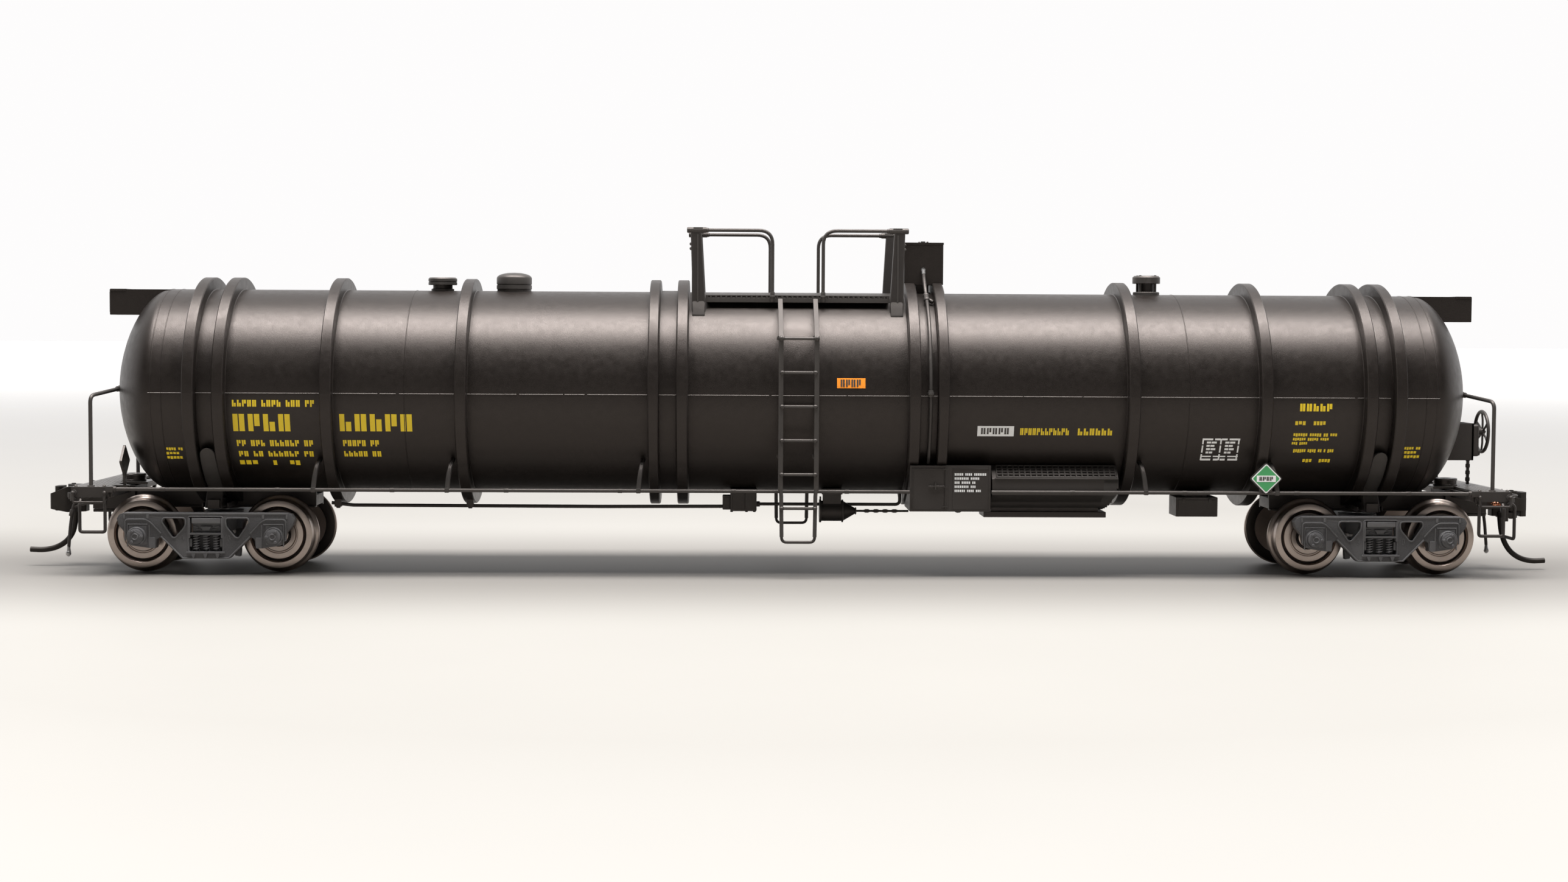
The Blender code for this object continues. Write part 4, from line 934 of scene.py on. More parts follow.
    hose = [(108.0, HOSE_Y, 11.4), (110.4, HOSE_Y, 10.6), (111.0, HOSE_Y, 7.2), (111.35, HOSE_Y, 3.2)]
    tube(bm, rounded(hose, 1.4, 6), 0.25, 12)
    rod(bm, (110.7, HOSE_Y, 9.2), (110.95, HOSE_Y, 8.2), 0.36, sides=10, bevel=0.05)
    rod(bm, (108.0, HOSE_Y, 11.5), (109.2, HOSE_Y, 11.1), 0.42, sides=12, bevel=0.06)
    tube(bm, [(107.6, HOSE_Y, 10.4), (110.6, HOSE_Y, 9.6)], 0.2, 10)


def glad_hand(bm):
    ball(bm, (111.38, HOSE_Y, 2.5), 0.46, (0.9, 0.9, 1.1))
    rod(bm, (111.32, HOSE_Y, 3.6), (111.36, HOSE_Y, 2.7), 0.22, 0.34, 12)


def end_platform(bm):
    """Grating of long slats, its frame, the low drum, and the placard holder on its post."""
    low, high = DECK_TOP - 0.4, DECK_TOP
    inner, outer, half = 103.1, DECK_OUTER, DECK_HALF_WIDTH
    for x in (inner + 0.2, outer - 0.2):
        box(bm, (x - 0.2, x + 0.2), (-half, half), (low, high), 0.06)
    for y in (-half + 0.2, half - 0.2):
        box(bm, (inner, outer), (y - 0.2, y + 0.2), (low, high), 0.06)
    for i in range(8):
        x = inner + 0.75 + i * 0.545
        box(bm, (x - 0.16, x + 0.16), (-half + 0.1, half - 0.1), (low + 0.02, high + 0.02), 0.05, 1)
    for i in range(15):
        y = (i - 7) * 1.9
        box(bm, (inner, outer), (y - 0.1, y + 0.1), (low + 0.05, high - 0.08), 0.03, 1)
    box(bm, (99.9, inner + 0.3), (-3.0, 3.0), (low, high - 0.05), 0.06)
    drum = [(low, 0), (low, 1.85), (13.5, 1.85), (13.56, 1.78), (14.1, 1.78), (14.14, 1.85), (14.38, 1.85),
            (14.45, 1.78), (14.45, 0.9), (14.35, 0.8), (14.35, 0)]
    lathe(bm, drum, "Z", (102.7, 0, 0), 40)
    box(bm, (101.2, inner + 0.4), (8.3, 9.7), (low + 0.05, high - 0.05), 0.06)
    box(bm, (101.6, 102.0), (8.65, 9.35), (13.0, 15.6), 0.1)
    plate(bm, "YZ", [smooth_loop(diamond((9.0, 16.9), 2.5), 0.3)], (101.98, 101.62), 0.07, 2, (0.22, 0.08))
    for way in (-1, 1):
        x, y = CORNER_POST_X, way * CORNER_POST_Y
        rod(bm, (x, y, high - 0.05), (x, y, high + 0.2), 0.55, sides=14, bevel=0.08)
        for x in (inner + 0.5, outer - 0.6):
            ball(bm, (x, way * (half - 0.5), high), 0.28)


def make_ends():
    both_ends(end_frame, "end_frame_#_skin", FRAME_BLACK, stands_for="end_frame_#")
    both_ends(glad_hand, "glad_hand_#", STEEL)
    both_ends(end_platform, "end_platform_#_skin", DECK_BLACK_PAINTED_SHEEN, stands_for="end_platform_#")

    def lid(bm):
        low, high = extent("coupler_pocket_lid_b")
        box(bm, (low.x, high.x), (low.y, high.y), (low.z, high.z), 0.1)
        rod(bm, (104.3, 0, low.z + 0.1), (104.3, 0, low.z - 0.15), 1.0, sides=24, bevel=0.1)
        rod(bm, (107.2, 0, low.z + 0.1), (107.2, 0, low.z - 0.1), 0.5, sides=16, bevel=0.06)
    both_ends(lid, "coupler_pocket_lid_#_skin", FRAME_BLACK, stands_for="coupler_pocket_lid_#")

    for side, name in ((-1, "near"), (1, "far")):
        other = "far" if name == "near" else "near"
        for end, label in (("b", name), ("a", other)):
            bm = bmesh.new()
            x, y = CORNER_POST_X, side * CORNER_POST_Y
            route = [(x, y, DECK_TOP + 0.05), (x, y, 26.9), (103.25, side * 5.7, 27.78)]
            tube(bm, rounded(route, 1.1, 7), 0.3, 16)
            tube(bm, [(103.5, side * 6.4, 27.7), (103.25, side * 5.7, 27.78)], 0.42, 14)
            ball(bm, (103.3, side * 5.8, 27.77), 0.5, (0.7, 1, 1))
            skin(f"end_handrail_{end}_{label}", bm, TRIM_BLACK, turned=end == "a")


def make_hand_brake():
    bm = bmesh.new()
    box(bm, (101.5, 106.3), (-2.55, -2.25), (17.4, 23.2), 0.08)
    box(bm, (101.5, 106.3), (2.25, 2.55), (17.4, 23.2), 0.08)
    box(bm, (105.9, 106.3), (-2.55, 2.55), (17.4, 23.2), 0.08)
    box(bm, (102.2, 106.2), (-2.4, 2.4), (17.6, 18.6), 0.1)
    box(bm, (106.2, 107.3), (-2.1, 2.1), (18.0, 22.9), 0.3, 3)
    rod(bm, (107.2, 0, 21.8), (107.6, 0, 21.8), 1.2, sides=24, bevel=0.1)
    for z in (18.8, 19.8):
        box(bm, (107.2, 107.5), (-1.3, 1.3), (z, z + 0.3), 0.08)
    rod(bm, (106.9, -1.6, 18.6), (107.5, -1.6, 18.6), 0.5, sides=14, bevel=0.08)
    z = DECK_TOP + 0.1
    for i in range(8):
        turn = 0.34 if i % 2 else 0.2
        box(bm, (106.25 - turn, 106.25 + turn), (-0.54 + turn, 0.54 - turn), (z, z + 0.62), 0.12)
        z += 0.53
    skin("hand_brake_bracket", bm, FRAME_BLACK)

    x, z = 108.35, 21.8
    bm = bmesh.new()
    tube(bm, loop_route((x, 0, z), 3.18, 3.18, 48, "X"), 0.27, 12)
    for i in range(6):
        angle = math.radians(60 * i + 30)
        out = Vector((0.0, math.cos(angle), math.sin(angle)))
        hub = Vector((x + 0.15, 0, z))
        tube(bm, [hub + out * 0.4, hub + out * 1.8, Vector((x, 0, z)) + out * 3.2], 0.17, 8)
    rod(bm, (107.7, 0, z), (x + 0.45, 0, z), 0.55, sides=18, bevel=0.08)
    rod(bm, (x + 0.4, 0, z), (x + 0.5, 0, z), 0.25, sides=6)
    skin("hand_brake_wheel", bm, TRIM_BLACK)


# ---------------------------------------------------------------- trucks

def sideframe(bm):
    """One cast sideframe on the -Y side of a truck centred on X = 0."""
    right = [(3.5, 2.5), (6.75, 5.75), (7.3, 5.4), (7.45, 4.06), (8.4, 4.06), (11.1, 4.45), (11.75, 5.2),
             (12.0, 6.3), (13.0, 7.6), (13.25, 8.5), (12.85, 9.15), (12.0, 9.4)]
    outline = right + [(-x, z) for x, z in reversed(right)]
    window = [(2.97, 8.65), (6.3, 8.65), (6.55, 8.0), (4.95, 5.65), (4.45, 5.65), (2.97, 7.4)]
    window = smooth_loop(window, 0.55)
    spring_box = smooth_loop([(-2.45, 3.55), (2.45, 3.55), (2.45, 8.75), (-2.45, 8.75)], 0.25, 3)
    holes = [window, [(-x, z) for x, z in window], spring_box]
    plate(bm, "XZ", [outline, *holes], (FRAME_FACE, -11.35), 0.12, 2)
    for way in (-1, 1):
        lip = [Vector((way * x, FRAME_FACE - 0.02, z)) for x, z in window]
        tube(bm, lip + [lip[0]], 0.13, 8)
        rim = [(way * 2.0, 2.62), (way * 3.45, 2.62), (way * 6.65, 5.85)]
        tube(bm, [Vector((x, FRAME_FACE - 0.02, z)) for x, z in rim], 0.14, 8)
        tube(bm, loop_route((way * 3.48, FRAME_FACE - 0.02, 5.55), 0.17, 0.42, 24), 0.07, 8)
        side_bar = way * 2.42
        box(bm, (side_bar - 0.12, side_bar + 0.12), (-13.25, -12.0), (5.6, 8.6), 0.06)
    tube(bm, [(-12.2, FRAME_FACE, 9.28), (12.2, FRAME_FACE, 9.28)], 0.17, 8, 0.8)
    box(bm, (-2.1, 2.3), (FRAME_FACE - 0.1, -12.2), (7.75, 8.65), 0.2, 3)
    box(bm, (-2.55, 2.55), (-13.3, -12.0), (6.1, 6.4), 0.08)
    recess = smooth_loop([(-2.6, 3.4), (2.6, 3.4), (2.6, 8.85), (-2.6, 8.85)], 0.4, 3)
    lip = [Vector((x, FRAME_FACE, z)) for x, z in recess]
    tube(bm, lip + [lip[0]], 0.12, 8)
    box(bm, (-2.9, 2.9), (-13.45, -12.0), (3.3, 3.58), 0.1)
    box(bm, (-2.5, 2.5), (-11.55, -11.3), (3.0, 6.05), 0.05)
    for x in (-1.8, 0, 1.8):
        plate(bm, "XZ", [[(x - 0.36, 3.35), (x + 0.36, 3.35), (x + 0.08, 2.52), (x - 0.08, 2.52)]],
              (-13.42, -12.9), 0.04)
    for x in (-1.5, 0.0, 1.5):
        low, tall = 3.72, 2.3
        tube(bm, helix((x, -12.5, low), 0.42, tall, 6, 14, "Z"), 0.11, 8)
        rod(bm, (x, -12.5, low), (x, -12.5, low + tall), 0.2, sides=10)
    for way in (-1, 1):
        pad = way * 2.3
        box(bm, (pad - 0.22, pad + 0.22), (-12.9, -12.1), (4.25, 5.5), 0.1)

    cap = [(-0.4, 0), (-0.4, 1.4), (0.5, 1.4), (0.62, 1.3), (0.62, 1.2), (0.72, 1.14), (0.98, 1.14),
           (1.04, 1.06), (1.04, 0)]
    for way in (-1, 1):
        x = way * HALF_WHEELBASE
        toward = -way
        hood = [(x - toward * 1.75, 5.2), (x - toward * 1.75, 8.4), (x + toward * 1.35, 8.4),
                (x + toward * 2.1, 7.85), (x + toward * 3.55, 6.3)]
        tube(bm, rounded([(u, FRAME_FACE - 0.04, v) for u, v in hood], 0.5, 4), 0.12, 8)
        lower = [(x - toward * 1.45, FRAME_FACE - 0.04, 7.65), (x + toward * 1.6, FRAME_FACE - 0.04, 7.65)]
        tube(bm, lower, 0.1, 8)
        for u in (x + toward * 1.85, x - toward * 1.4):
            tube(bm, [(u, FRAME_FACE - 0.04, 7.6), (u, FRAME_FACE - 0.04, 4.3)], 0.1, 8)
        for u, wide in ((x - toward * 1.9, 0.14), (x + toward * 1.6, 0.2)):
            box(bm, (u - wide, u + wide), (-13.22, -12.6), (8.5, 9.3), 0.08)
        box(bm, (x - 1.25, x + 1.45 * max(toward, 0.85)), (FRAME_FACE - 0.1, -12.2), (4.6, 7.5), 0.12)
        lathe(bm, [(-13.25 - s, r) for s, r in cap], "Y", (x, 0, AXLE_Z), 40)
        corners = []
        for i in range(3):
            angle = math.radians((0 if toward > 0 else 180) + 120 * i)
            corners.append((x + 1.5 * math.cos(angle), AXLE_Z + 1.5 * math.sin(angle)))
            spot = (x + 0.88 * math.cos(angle), AXLE_Z + 0.88 * math.sin(angle))
            rod(bm, (spot[0], -14.3, spot[1]), (spot[0], -14.72, spot[1]), 0.21, sides=8, bevel=0.05)
        plate(bm, "XZ", [smooth_loop(corners, 0.75, 6)], (-14.5, -14.1), 0.07)
        tube(bm, loop_route((x, -14.5, AXLE_Z), 0.42, 0.42, 24), 0.1, 8)
        leg = way * 7.95
        box(bm, (leg - 0.47, leg + 0.47), (-13.3, -12.4), (4.06, 5.7), 0.12)


def bolster(bm):
    box(bm, (-2.3, 2.3), (-11.0, 11.0), (6.0, 8.5), 0.2)
    for way in (-1, 1):
        box(bm, (-2.1, 2.1), (way * 10.8, way * 12.35), (6.45, 7.7), 0.12)
        wedge = [(-0.9, 7.35), (-0.45, 6.7), (0.45, 6.7), (0.9, 7.35)]
        plate(bm, "XZ", [wedge], (way * 12.85, way * 12.2), 0.08)
        for x in (-1, 1):
            for z in (7.2, 6.8):
                tube(bm, [(x * (z - 5.95), way * 12.5, z), (x * (z - 5.3), way * 12.5, z + 0.12)], 0.11, 8)
    rod(bm, (0, 0, 6.05), (0, 0, 8.9), 3.0, sides=40, bevel=0.15)
    for way in (-1, 1):
        beam = way * 3.7
        tube(bm, [(beam, -9.6, 4.6), (beam, -6, 4.3), (beam, 6, 4.3), (beam, 9.6, 4.6)], 0.4, 10)
        for side in (-1, 1):
            shoe = [(way * (4.05 + 0.4 * math.cos(a)), 4.0 + 2.4 * math.sin(a))
                    for a in (-0.7, -0.3, 0.1, 0.5)] + [(way * 3.6, 5.2), (way * 3.55, 2.6)]
            plate(bm, "XZ", [shoe], (side * 8.2, side * 9.4), 0.1)


def shift(bm, x, turned):
    """Place a truck part at a truck, on its -Y side or turned half round to the +Y side."""
    if turned:
        bmesh.ops.rotate(bm, verts=bm.verts, cent=(0, 0, 0), matrix=Matrix.Rotation(math.pi, 3, "Z"))
    bmesh.ops.translate(bm, verts=bm.verts, vec=(x * MM, 0, 0))


def wheel_parts():
    """Profiles of a wheel's bright tread and face, and of its black back, from its back outwards."""
    tread, flange, width = TREAD_RADIUS, FLANGE_RADIUS, WHEEL_FACE - WHEEL_BACK
    bright = [(0.06, 5.6), (0.14, 5.76), (0.3, flange - 0.03), (0.42, flange), (0.58, flange - 0.06),
              (0.74, 5.62), (0.85, 5.4), (1.0, 5.28), (1.15, tread), (2.62, tread - 0.08),
              (2.74, tread - 0.14), (width, tread - 0.3), (width, 4.28), (2.7, 4.2), (2.2, 4.12),
              (2.08, 4.0), (2.12, 3.9), (2.5, 3.72), (2.53, 3.6), (2.5, 2.92), (2.25, 2.86), (2.2, 2.8),
              (2.2, 2.7), (2.3, 2.62), (2.38, 2.55), (2.36, 1.9), (2.1, 1.75),
              (2.1, 1.6), (2.6, 1.5), (2.66, 1.42), (2.66, 0.75), (2.3, 0.7), (2.3, 0)]
    back = [(0.0, 0), (0.0, 1.6), (0.45, 1.75), (0.6, 2.2), (0.55, 3.9), (0.0, 4.3), (0.0, 5.5),
            (0.05, 5.65)]
    return bright, back


def blacken_grooves(mesh, x):
    """Paint the grooves turned in a wheel's face black: partly the black paint left in them, partly painted
    shade of their depth.
    """
    mesh.materials.append(WHEEL_BACK_BLACK)
    for face in mesh.polygons:
        reach = math.hypot(face.center.x / MM - x, face.center.z / MM - AXLE_Z)
        depth = abs(face.center.y) / MM - WHEEL_BACK
        if depth > 1.5 and (3.86 < reach < 4.12 or 1.5 < reach < 1.8):
            face.material_index = 1


def make_trucks():
    bright, back = wheel_parts()
    for end, centre in (("a", -TRUCK_X), ("b", TRUCK_X)):
        body = f"truck_{end}"
        for label, turned in (("near", False), ("far", True)):
            bm = bmesh.new()
            sideframe(bm)
            shift(bm, centre, turned)
            skin(f"sideframe_{end}_{label}", bm, GREY, body)
        bm = bmesh.new()
        bolster(bm)
        shift(bm, centre, False)
        skin(f"truck_bolster_{end}", bm, GREY, body)
        bm = bmesh.new()
        lathe(bm, [(4.9, 0), (4.9, 0.5), (5.05, 0.55), (5.05, 1.5), (5.25, 1.7), (5.65, 1.7), (5.65, 0.75),
                   (11.0, 0.75), (11.0, 0)], "Z", (centre, 0, 0), 30)
        skin(f"kingpin_screw_{end}", bm, STEEL)

    for number, x in enumerate(AXLE_X, 1):
        body = f"wheelset_{number}"
        bm = bmesh.new()
        half = extent(f"axle_{number}")[1].y
        lathe(bm, [(-half, 0), (-half + 1.3, 0.78), (-7.4, 0.8), (-7.0, 1.3), (-6.4, 1.3), (-6.2, 0.85),
                   (6.2, 0.85), (6.4, 1.3), (7.0, 1.3), (7.4, 0.8), (half - 1.3, 0.78), (half, 0)],
              "Y", (x, 0, AXLE_Z), 28)
        skin(f"axle_{number}", bm, COUPLER_METAL, body)
        for side, label in ((-1, "near"), (1, "far")):
            for name, profile, material in (("face", bright, NICKEL), ("back", back, WHEEL_BACK_BLACK)):
                bm = bmesh.new()
                solid = [(side * (WHEEL_BACK + s), r) for s, r in profile]
                if name == "back":
                    solid.append((side * (WHEEL_BACK + 0.7), 4.6))
                    solid.append((side * (WHEEL_BACK + 0.7), 0))
                else:
                    solid = [(side * (WHEEL_BACK + 0.4), 0)] + solid
                lathe(bm, solid, "Y", (x, 0, AXLE_Z), 96)
                nodes = [f"wheel_{number}_{label}"] if name == "face" else []
                wheel = finish(f"wheel_{number}_{label}_{name}", bm, material, body, nodes)
                if name == "face":
                    blacken_grooves(wheel.data, x)


# ---------------------------------------------------------------- couplers

def coupler(bm, pin_drop):
    """Shank, head with its guard arm, knuckle lugs and curved trip pin, in the pivot's frame."""
    low, high = COUPLER_Z - 0.9, COUPLER_Z + 0.9
    shank = arc((0, 0), 1.75, 40, 320, 24) + [(3.0, -1.05), (6.2, -1.05), (6.2, 1.05), (3.0, 1.05)]
    hole = list(reversed(arc((0, 0), 1.2, 0, 345, 23)))
    plate(bm, "XY", [shank, hole], (low, high), 0.12)
    head = [(5.6, -1.1), (6.6, -1.5), (7.05, -1.0), (7.2, -0.3), (7.85, 0.15), (8.1, 1.4), (8.9, 2.0),
            (10.4, 2.75), (10.5, 3.0), (10.2, 3.3), (8.2, 2.8), (6.9, 1.95), (6.0, 1.2), (5.6, 1.0)]
    part = bmesh.new()
    plate(part, "XY", [smooth_loop(head, 0.25, 3)], (COUPLER_Z - 1.95, COUPLER_Z + 1.95), 0.2, 3)
    for vert in part.verts:
        x, y, z = vert.co / MM
        taper = min(max((x - 8.0) / 2.5, 0.0), 1.0) * min(max((y - 0.8) / 1.5, 0.0), 1.0)
        vert.co.z = (COUPLER_Z + (z - COUPLER_Z) * (1 - taper * (0.52 if z > COUPLER_Z else 0.3))) * MM
    merge(bm, part)
    box(bm, (5.9, 7.2), (-0.9, 1.4), (COUPLER_Z + 1.7, COUPLER_Z + 2.15), 0.15)
    lug = [(6.3, -0.4), (6.3, -1.9), (7.4, -2.9), (8.8, -3.0), (9.3, -2.2), (8.8, -1.1), (8.0, -0.4)]
    for z in (8.4, 11.8):
        plate(bm, "XY", [smooth_loop(lug, 0.5, 4)], (z, z + 0.8), 0.12)
    rod(bm, (8.3, -2.0, 8.2), (8.3, -2.0, 12.75), 0.35, sides=16, bevel=0.08)
    pin = [(7.3, 0.4, 9.0), (7.5, 0.2, 6.6), (7.9, 0, 4.9), (8.9, 0, 3.4), (10.4, 0, 2.4),
           (12.3, 0, 1.95), (14.5, 0, 2.05)]
    pin = [(x, y, 9.0 - (9.0 - z) * pin_drop) for x, y, z in pin]
    tube(bm, rounded(pin, 1.0, 5), 0.42, 14)


def knuckle(bm):
    hook = [(0.2, -0.9), (1.5, -0.75), (2.3, -0.35), (2.45, 0.2), (2.4, 1.9), (2.1, 2.45), (1.6, 2.45),
            (1.15, 1.7), (0.55, 0.95), (0.2, 0.85)]
    plate(bm, "XY", [smooth_loop(hook, 0.3, 4)], (9.5, 11.5), 0.15, 3)
    nose = [(1.25, -0.6), (1.65, -0.6), (2.3, -0.3), (2.42, 0.2), (2.38, 1.9), (2.1, 2.42), (1.6, 2.36),
            (1.25, 1.7)]
    plate(bm, "XY", [smooth_loop(nose, 0.25, 4)], (8.6, 12.4), 0.2, 3)
    rod(bm, (0, 0, 9.5), (0, 0, 11.5), 0.95, sides=28, bevel=0.1)


def coil(bm):
    tube(bm, helix((5.35, -1.75, COUPLER_Z), 0.32, 1.5, 6, 16, "X"), 0.09, 8)


def make_couplers():
    for name, build, offset, material, slot in (
            ("coupler", coupler, (0, 0), COUPLER_METAL, "dark_steel"),
            ("knuckle", knuckle, (8.3, -2.0), COUPLER_METAL, "dark_steel"),
            ("knuckle_spring", coil, (0, 0), COPPER, "spring_copper")):
        for end in "ba":
            bm = bmesh.new()
            if name == "coupler":
                build(bm, TRIP_PIN_DROP[end])
            else:
                build(bm)
            bmesh.ops.translate(bm, verts=bm.verts, vec=((COUPLER_PIVOT + offset[0]) * MM, offset[1] * MM, 0))
            body = f"knuckle_end_{end}" if name == "knuckle" else f"coupler_end_{end}"
            skin(f"{name}_{end}", bm, material, body, end == "a")


# ---------------------------------------------------------------- markings

def wrap(x, z, radius):
    """A point on the near side of the tank at a height, radius millimetres from its axis."""
    height = (z - TANK_Z) / radius
    return Vector((x, -radius * math.sqrt(1 - height ** 2), z))


def mark(bm, x0, x1, z0, z1, lift=0.0):
    """A printed block that lies on the tank's near side."""
    part = bmesh.new()
    rows = max(2, int((z1 - z0) / 0.5) + 1)
    heights = [z0 + (z1 - z0) * j / (rows - 1) for j in range(rows)]
    edges = []
    for radius in (TANK_RADIUS + 0.025 + lift, TANK_RADIUS - 0.05):
        edges.append([[part.verts.new(wrap(x, z, radius) * MM) for x in (x0, x1)] for z in heights])
    for grid in edges:
        for lower, upper in zip(grid, grid[1:]):
            part.faces.new((lower[0], lower[1], upper[1], upper[0]))
    outer, inner = ([row[0] for row in grid] + [row[1] for row in reversed(grid)] for grid in edges)
    for i in range(len(outer)):
        part.faces.new((outer[i - 1], outer[i], inner[i], inner[i - 1]))
    merge(bm, part)


def blocks(bm, x0, x1, z0, z1, words, gap=0.8):
    """A line of plain blocks in place of lettering. words gives each word's number of blocks."""
    pitch = (x1 - x0) / (sum(words) + gap * (len(words) - 1))
    x = x0
    for count in words:
        for _ in range(count):
            split, end = x + pitch * 0.33, x + pitch * 0.76
            short = (z1 - z0) * random.choice((0.0, 0.3, 0.45))
            if z1 - z0 > 0.8:
                mark(bm, x, split, z0, z1)
                top = random.random() < 0.5
                mark(bm, split + pitch * 0.08, end, z0 + (short if top else 0), z1 - (0 if top else short))
            else:
                mark(bm, x, end, z0 + short * 0.4, z1)
            x += pitch
        x += pitch * gap


# Lines of yellow blocks: left, right, bottom, top, blocks in each word.
YELLOW_LINES = [
    (-84.2, -71.9, 25.45, 26.45, (5, 4, 3, 2)),
    (-84.2, -75.2, 21.75, 24.35, (4,)), (-68.4, -57.1, 21.8, 24.4, (5,)),
    (-83.9, -72.4, 19.45, 20.4, (2, 3, 6, 2)), (-68.1, -62.6, 19.5, 20.45, (5, 2)),
    (-83.8, -72.5, 17.85, 18.7, (2, 2, 6, 2)), (-68.1, -62.4, 17.9, 18.75, (5, 2)),
    (-83.9, -81.0, 16.5, 17.25, (3,)), (-78.9, -78.2, 16.5, 17.25, (1,)), (-76.4, -74.7, 16.5, 17.25, (2,)),
    (-94.5, -92.0, 18.75, 19.2, (4, 2)), (-94.6, -92.6, 18.1, 18.5, (4,)), (-94.6, -92.2, 17.4, 17.85, (5,)),
    (75.5, 80.6, 25.45, 26.6, (5,)), (74.9, 76.6, 23.35, 23.95, (3,)), (77.7, 79.6, 23.35, 23.95, (4,)),
    (74.8, 81.5, 21.6, 22.1, (6, 5, 2, 3)), (74.8, 80.3, 20.95, 21.4, (6, 5, 4)),
    (74.7, 77.1, 20.3, 20.75, (3, 4)), (75.1, 81.3, 19.1, 19.65, (6, 4, 2, 1, 3)),
    (76.8, 78.3, 17.55, 18.1, (3,)), (79.3, 81.1, 17.55, 18.1, (4,)),
    (92.0, 94.5, 19.6, 20.05, (4, 2)), (92.1, 94.0, 18.95, 19.4, (4,)), (92.2, 94.6, 18.3, 18.75, (5,)),
    (33.4, 40.9, 21.65, 22.7, (12,)), (42.1, 47.5, 21.65, 22.7, (6,)),
]


def make_markings():
    bm = bmesh.new()
    for line in YELLOW_LINES:
        blocks(bm, *line)
    finish("yellow_marks", bm, YELLOW, "wagon_body")

    white, dark, orange = bmesh.new(), bmesh.new(), bmesh.new()
    mark(white, 26.95, 32.45, 21.45, 23.0)
    mark(orange, 5.75, 10.0, 28.6, 30.1)
    for x0, x1, z0, z1, count in ((27.5, 31.9, 21.75, 22.7, 5), (6.3, 9.5, 28.8, 29.9, 4)):
        pitch = (x1 - x0) / count
        for i in range(count):
            x = x0 + i * pitch
            mark(dark, x, x + pitch * 0.3, z0, z1, 0.03)
            mark(dark, x + pitch * 0.42, x + pitch * 0.74, z0 + 0.3 * (i % 2), z1, 0.03)
    left, right, low, high, line = 61.1, 66.8, 17.8, 21.25, 0.28
    middle = (left + right) / 2
    for x in (left, middle - line / 2, right - line):
        for z0, z1 in ((low + 0.05, low + 1.0), (low + 1.25, high - 1.1), (high - 0.9, high - 0.05)):
            mark(white, x, x + line * 0.8, z0, z1)
    for x0, x1 in ((left, left + 1.6), (left + 1.9, middle - 0.1), (middle + 0.1, right - 1.9),
                   (right - 1.6, right)):
        mark(white, x0, x1, high - line, high)
        mark(white, x0, x1, low + 0.55, low + 0.55 + line * 0.7)
        mark(white, x0 + 0.1, x1, low, low + 0.3)
    for start in (left + 0.6, middle + 0.55):
        for row, wide in enumerate((1.4, 1.1, 1.3, 0.9)):
            z = high - 0.78 - row * 0.52
            mark(white, start + 0.1, start + 0.1 + wide * 0.45, z, z + 0.3)
            mark(white, start + 0.2 + wide * 0.45, start + 0.2 + wide, z, z + 0.3)
    finish("white_marks", white, WHITE, "wagon_body")
    finish("orange_label", orange, ORANGE, "wagon_body")
    finish("label_blocks", dark, TRIM_BLACK, "wagon_body")

    low, face = CABINET_LOW, CABINET_LOW.y
    bm = bmesh.new()
    for row, words in enumerate(((5, 4, 7), (8, 5), (3, 5, 2), (8, 3), (6, 4, 3))):
        z = low.z + 5.45 - row * 0.62
        x = low.x + 6.75
        pitch = 4.9 / 18
        for count in words:
            for _ in range(count):
                box(bm, (x, x + pitch * 0.68), (face - 0.005, face + 0.1), (z, z + 0.36), 0)
                x += pitch
            x += pitch * 0.9
    finish("cabinet_marks", bm, WHITE, "wagon_body")


# ---------------------------------------------------------------- stage, light and camera

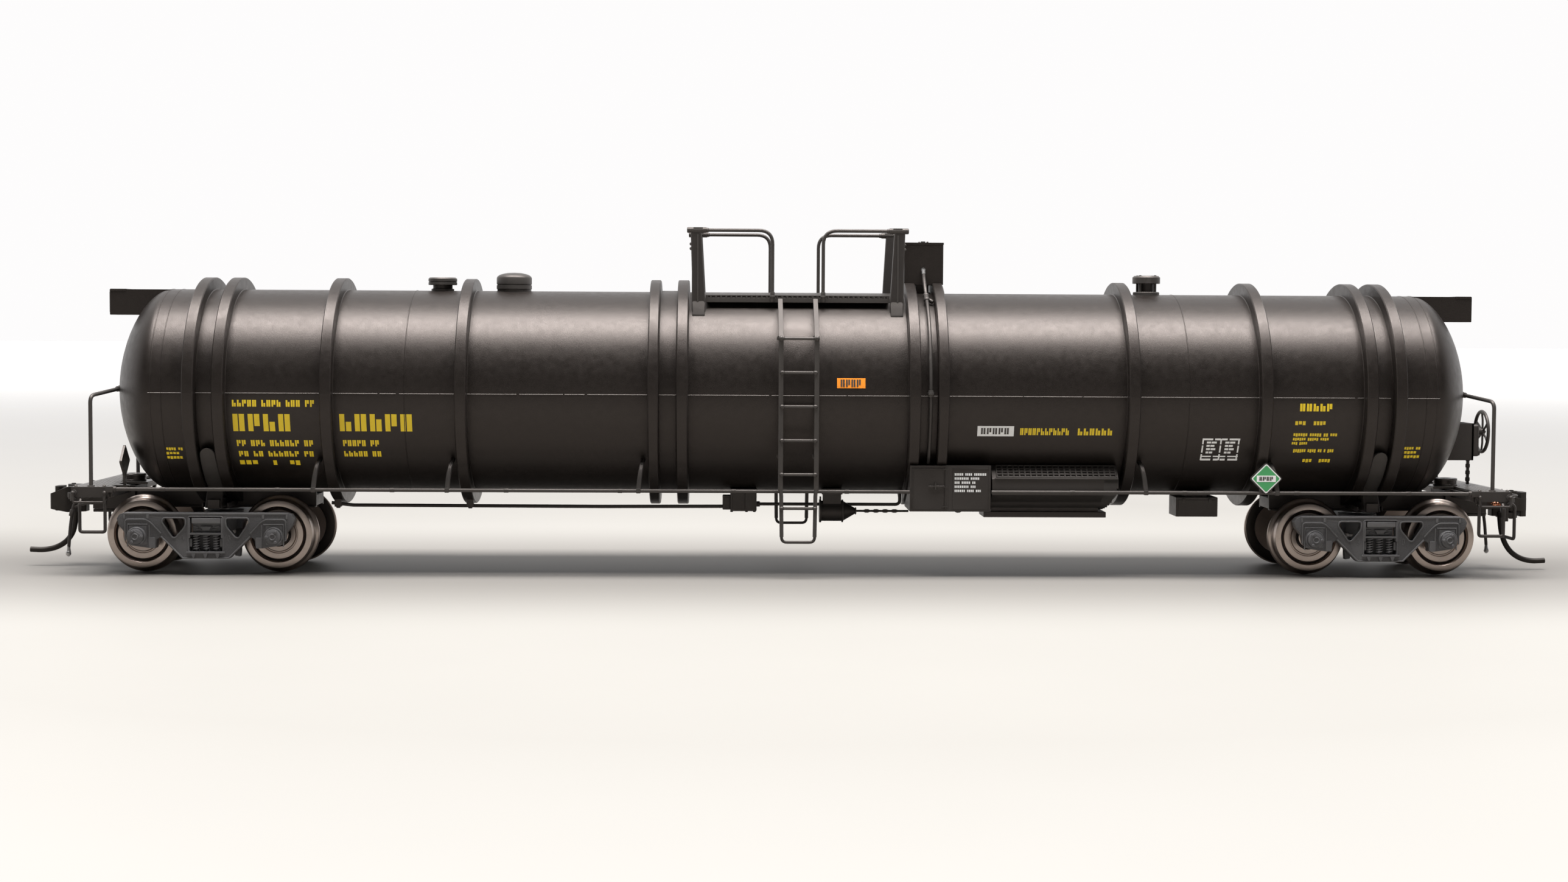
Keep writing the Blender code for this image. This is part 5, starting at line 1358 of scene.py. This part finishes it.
def make_stage():
    bpy.ops.mesh.primitive_plane_add(size=8, location=(0, 0, 0))
    floor = bpy.context.object
    floor.name = "studio_floor"
    n = Nodes("floor_paint")
    away = n.add("ShaderNodeVectorMath", {0: n.place}, operation="LENGTH").outputs["Value"]
    fall = n.add("ShaderNodeMapRange", {"Value": away, "From Min": 0.15, "From Max": 1.1}).outputs["Result"]
    # Painted shadow: the floor is darker in a soft band close around the wagon, longest along its length.
    flat = n.add("ShaderNodeVectorMath", {0: n.place, 1: (0.14, 1.0, 0.0)}, operation="MULTIPLY")
    beside = n.add("ShaderNodeVectorMath", {0: flat.outputs["Vector"]}, operation="LENGTH").outputs["Value"]
    near = n.add("ShaderNodeMapRange", {"Value": beside, "From Min": 0.012, "From Max": 0.075},
                 interpolation_type="SMOOTHSTEP").outputs["Result"]
    tone = n.mix(n.noise(60), (0.29, 0.28, 0.262), (0.305, 0.295, 0.276))
    tone = n.mix(near, (0.16, 0.15, 0.138), tone)
    floor.data.materials.append(n.set(
        Base_Color=n.mix(fall, tone, (0.95, 0.94, 0.925)), Roughness=0.6,
        Emission_Color=(1.0, 0.985, 0.97), Emission_Strength=n.ramp(fall, [(0.0, 0.0), (1.0, 0.47)])))

    world = bpy.data.worlds.new("studio")
    world.use_nodes = True
    tree = world.node_tree
    toward = tree.nodes.new("ShaderNodeSeparateXYZ")
    tree.links.new(tree.nodes.new("ShaderNodeTexCoord").outputs["Generated"], toward.inputs[0])
    fade = tree.nodes.new("ShaderNodeMapRange")
    for key, value in (("From Min", -0.35), ("From Max", 0.2), ("To Min", 0.05), ("To Max", 1.0)):
        fade.inputs[key].default_value = value
    tree.links.new(toward.outputs["Y"], fade.inputs["Value"])
    sky = tree.nodes["Background"]
    sky.inputs["Color"].default_value = (0.985, 0.975, 0.975, 1)
    tree.links.new(fade.outputs["Result"], sky.inputs["Strength"])
    bpy.context.scene.world = world


def area_light(name, place, target, size, power, color=(1, 1, 1)):
    light = bpy.data.lights.new(name, "AREA")
    light.shape = "RECTANGLE"
    light.size, light.size_y = size[0], size[1]
    light.energy = power
    light.color = color
    lamp = bpy.data.objects.new(name, light)
    bpy.context.scene.collection.objects.link(lamp)
    lamp.location = Vector(place)
    lamp.rotation_euler = (Vector(target) - Vector(place)).to_track_quat("-Z", "Y").to_euler()


def make_lights():
    area_light("overhead_softbox", (0, -0.06, 0.42), (0, 0, 0.04), (0.5, 0.16), 6.0, (1.0, 0.985, 0.975))


LENS = 51.85
CAMERA_PLACE = (-11.263, -352.807, 38.001)
CAMERA_TURN = (1.549, -2.942, 0.316)  # yaw, pitch and roll, in degrees


def make_camera():
    data = bpy.data.cameras.new("camera")
    data.sensor_width = 36
    data.lens = LENS
    data.clip_start = 0.01
    camera = bpy.data.objects.new("camera", data)
    bpy.context.scene.collection.objects.link(camera)
    yaw, pitch, roll = (math.radians(turn) for turn in CAMERA_TURN)
    forward = Vector((math.sin(yaw) * math.cos(pitch), math.cos(yaw) * math.cos(pitch), math.sin(pitch)))
    level = Vector((math.cos(yaw), -math.sin(yaw), 0))
    upright = level.cross(forward)
    right = level * math.cos(roll) + upright * math.sin(roll)
    up = upright * math.cos(roll) - level * math.sin(roll)
    place = Matrix((right, up, -forward)).transposed().to_4x4()
    place.translation = Vector(CAMERA_PLACE) * MM
    camera.matrix_world = place
    bpy.context.scene.camera = camera


for make in (make_tank, make_end_boxes, make_caps, make_walkways, make_valve_gear, make_ladders,
             make_side_rails, make_cabinet, make_vaporizer, make_tool_box, make_brake_gear, make_ends,
             make_hand_brake, make_trucks, make_couplers, make_markings, make_stage, make_lights,
             make_camera):
    make()
bpy.context.scene.view_settings.view_transform = "Standard"
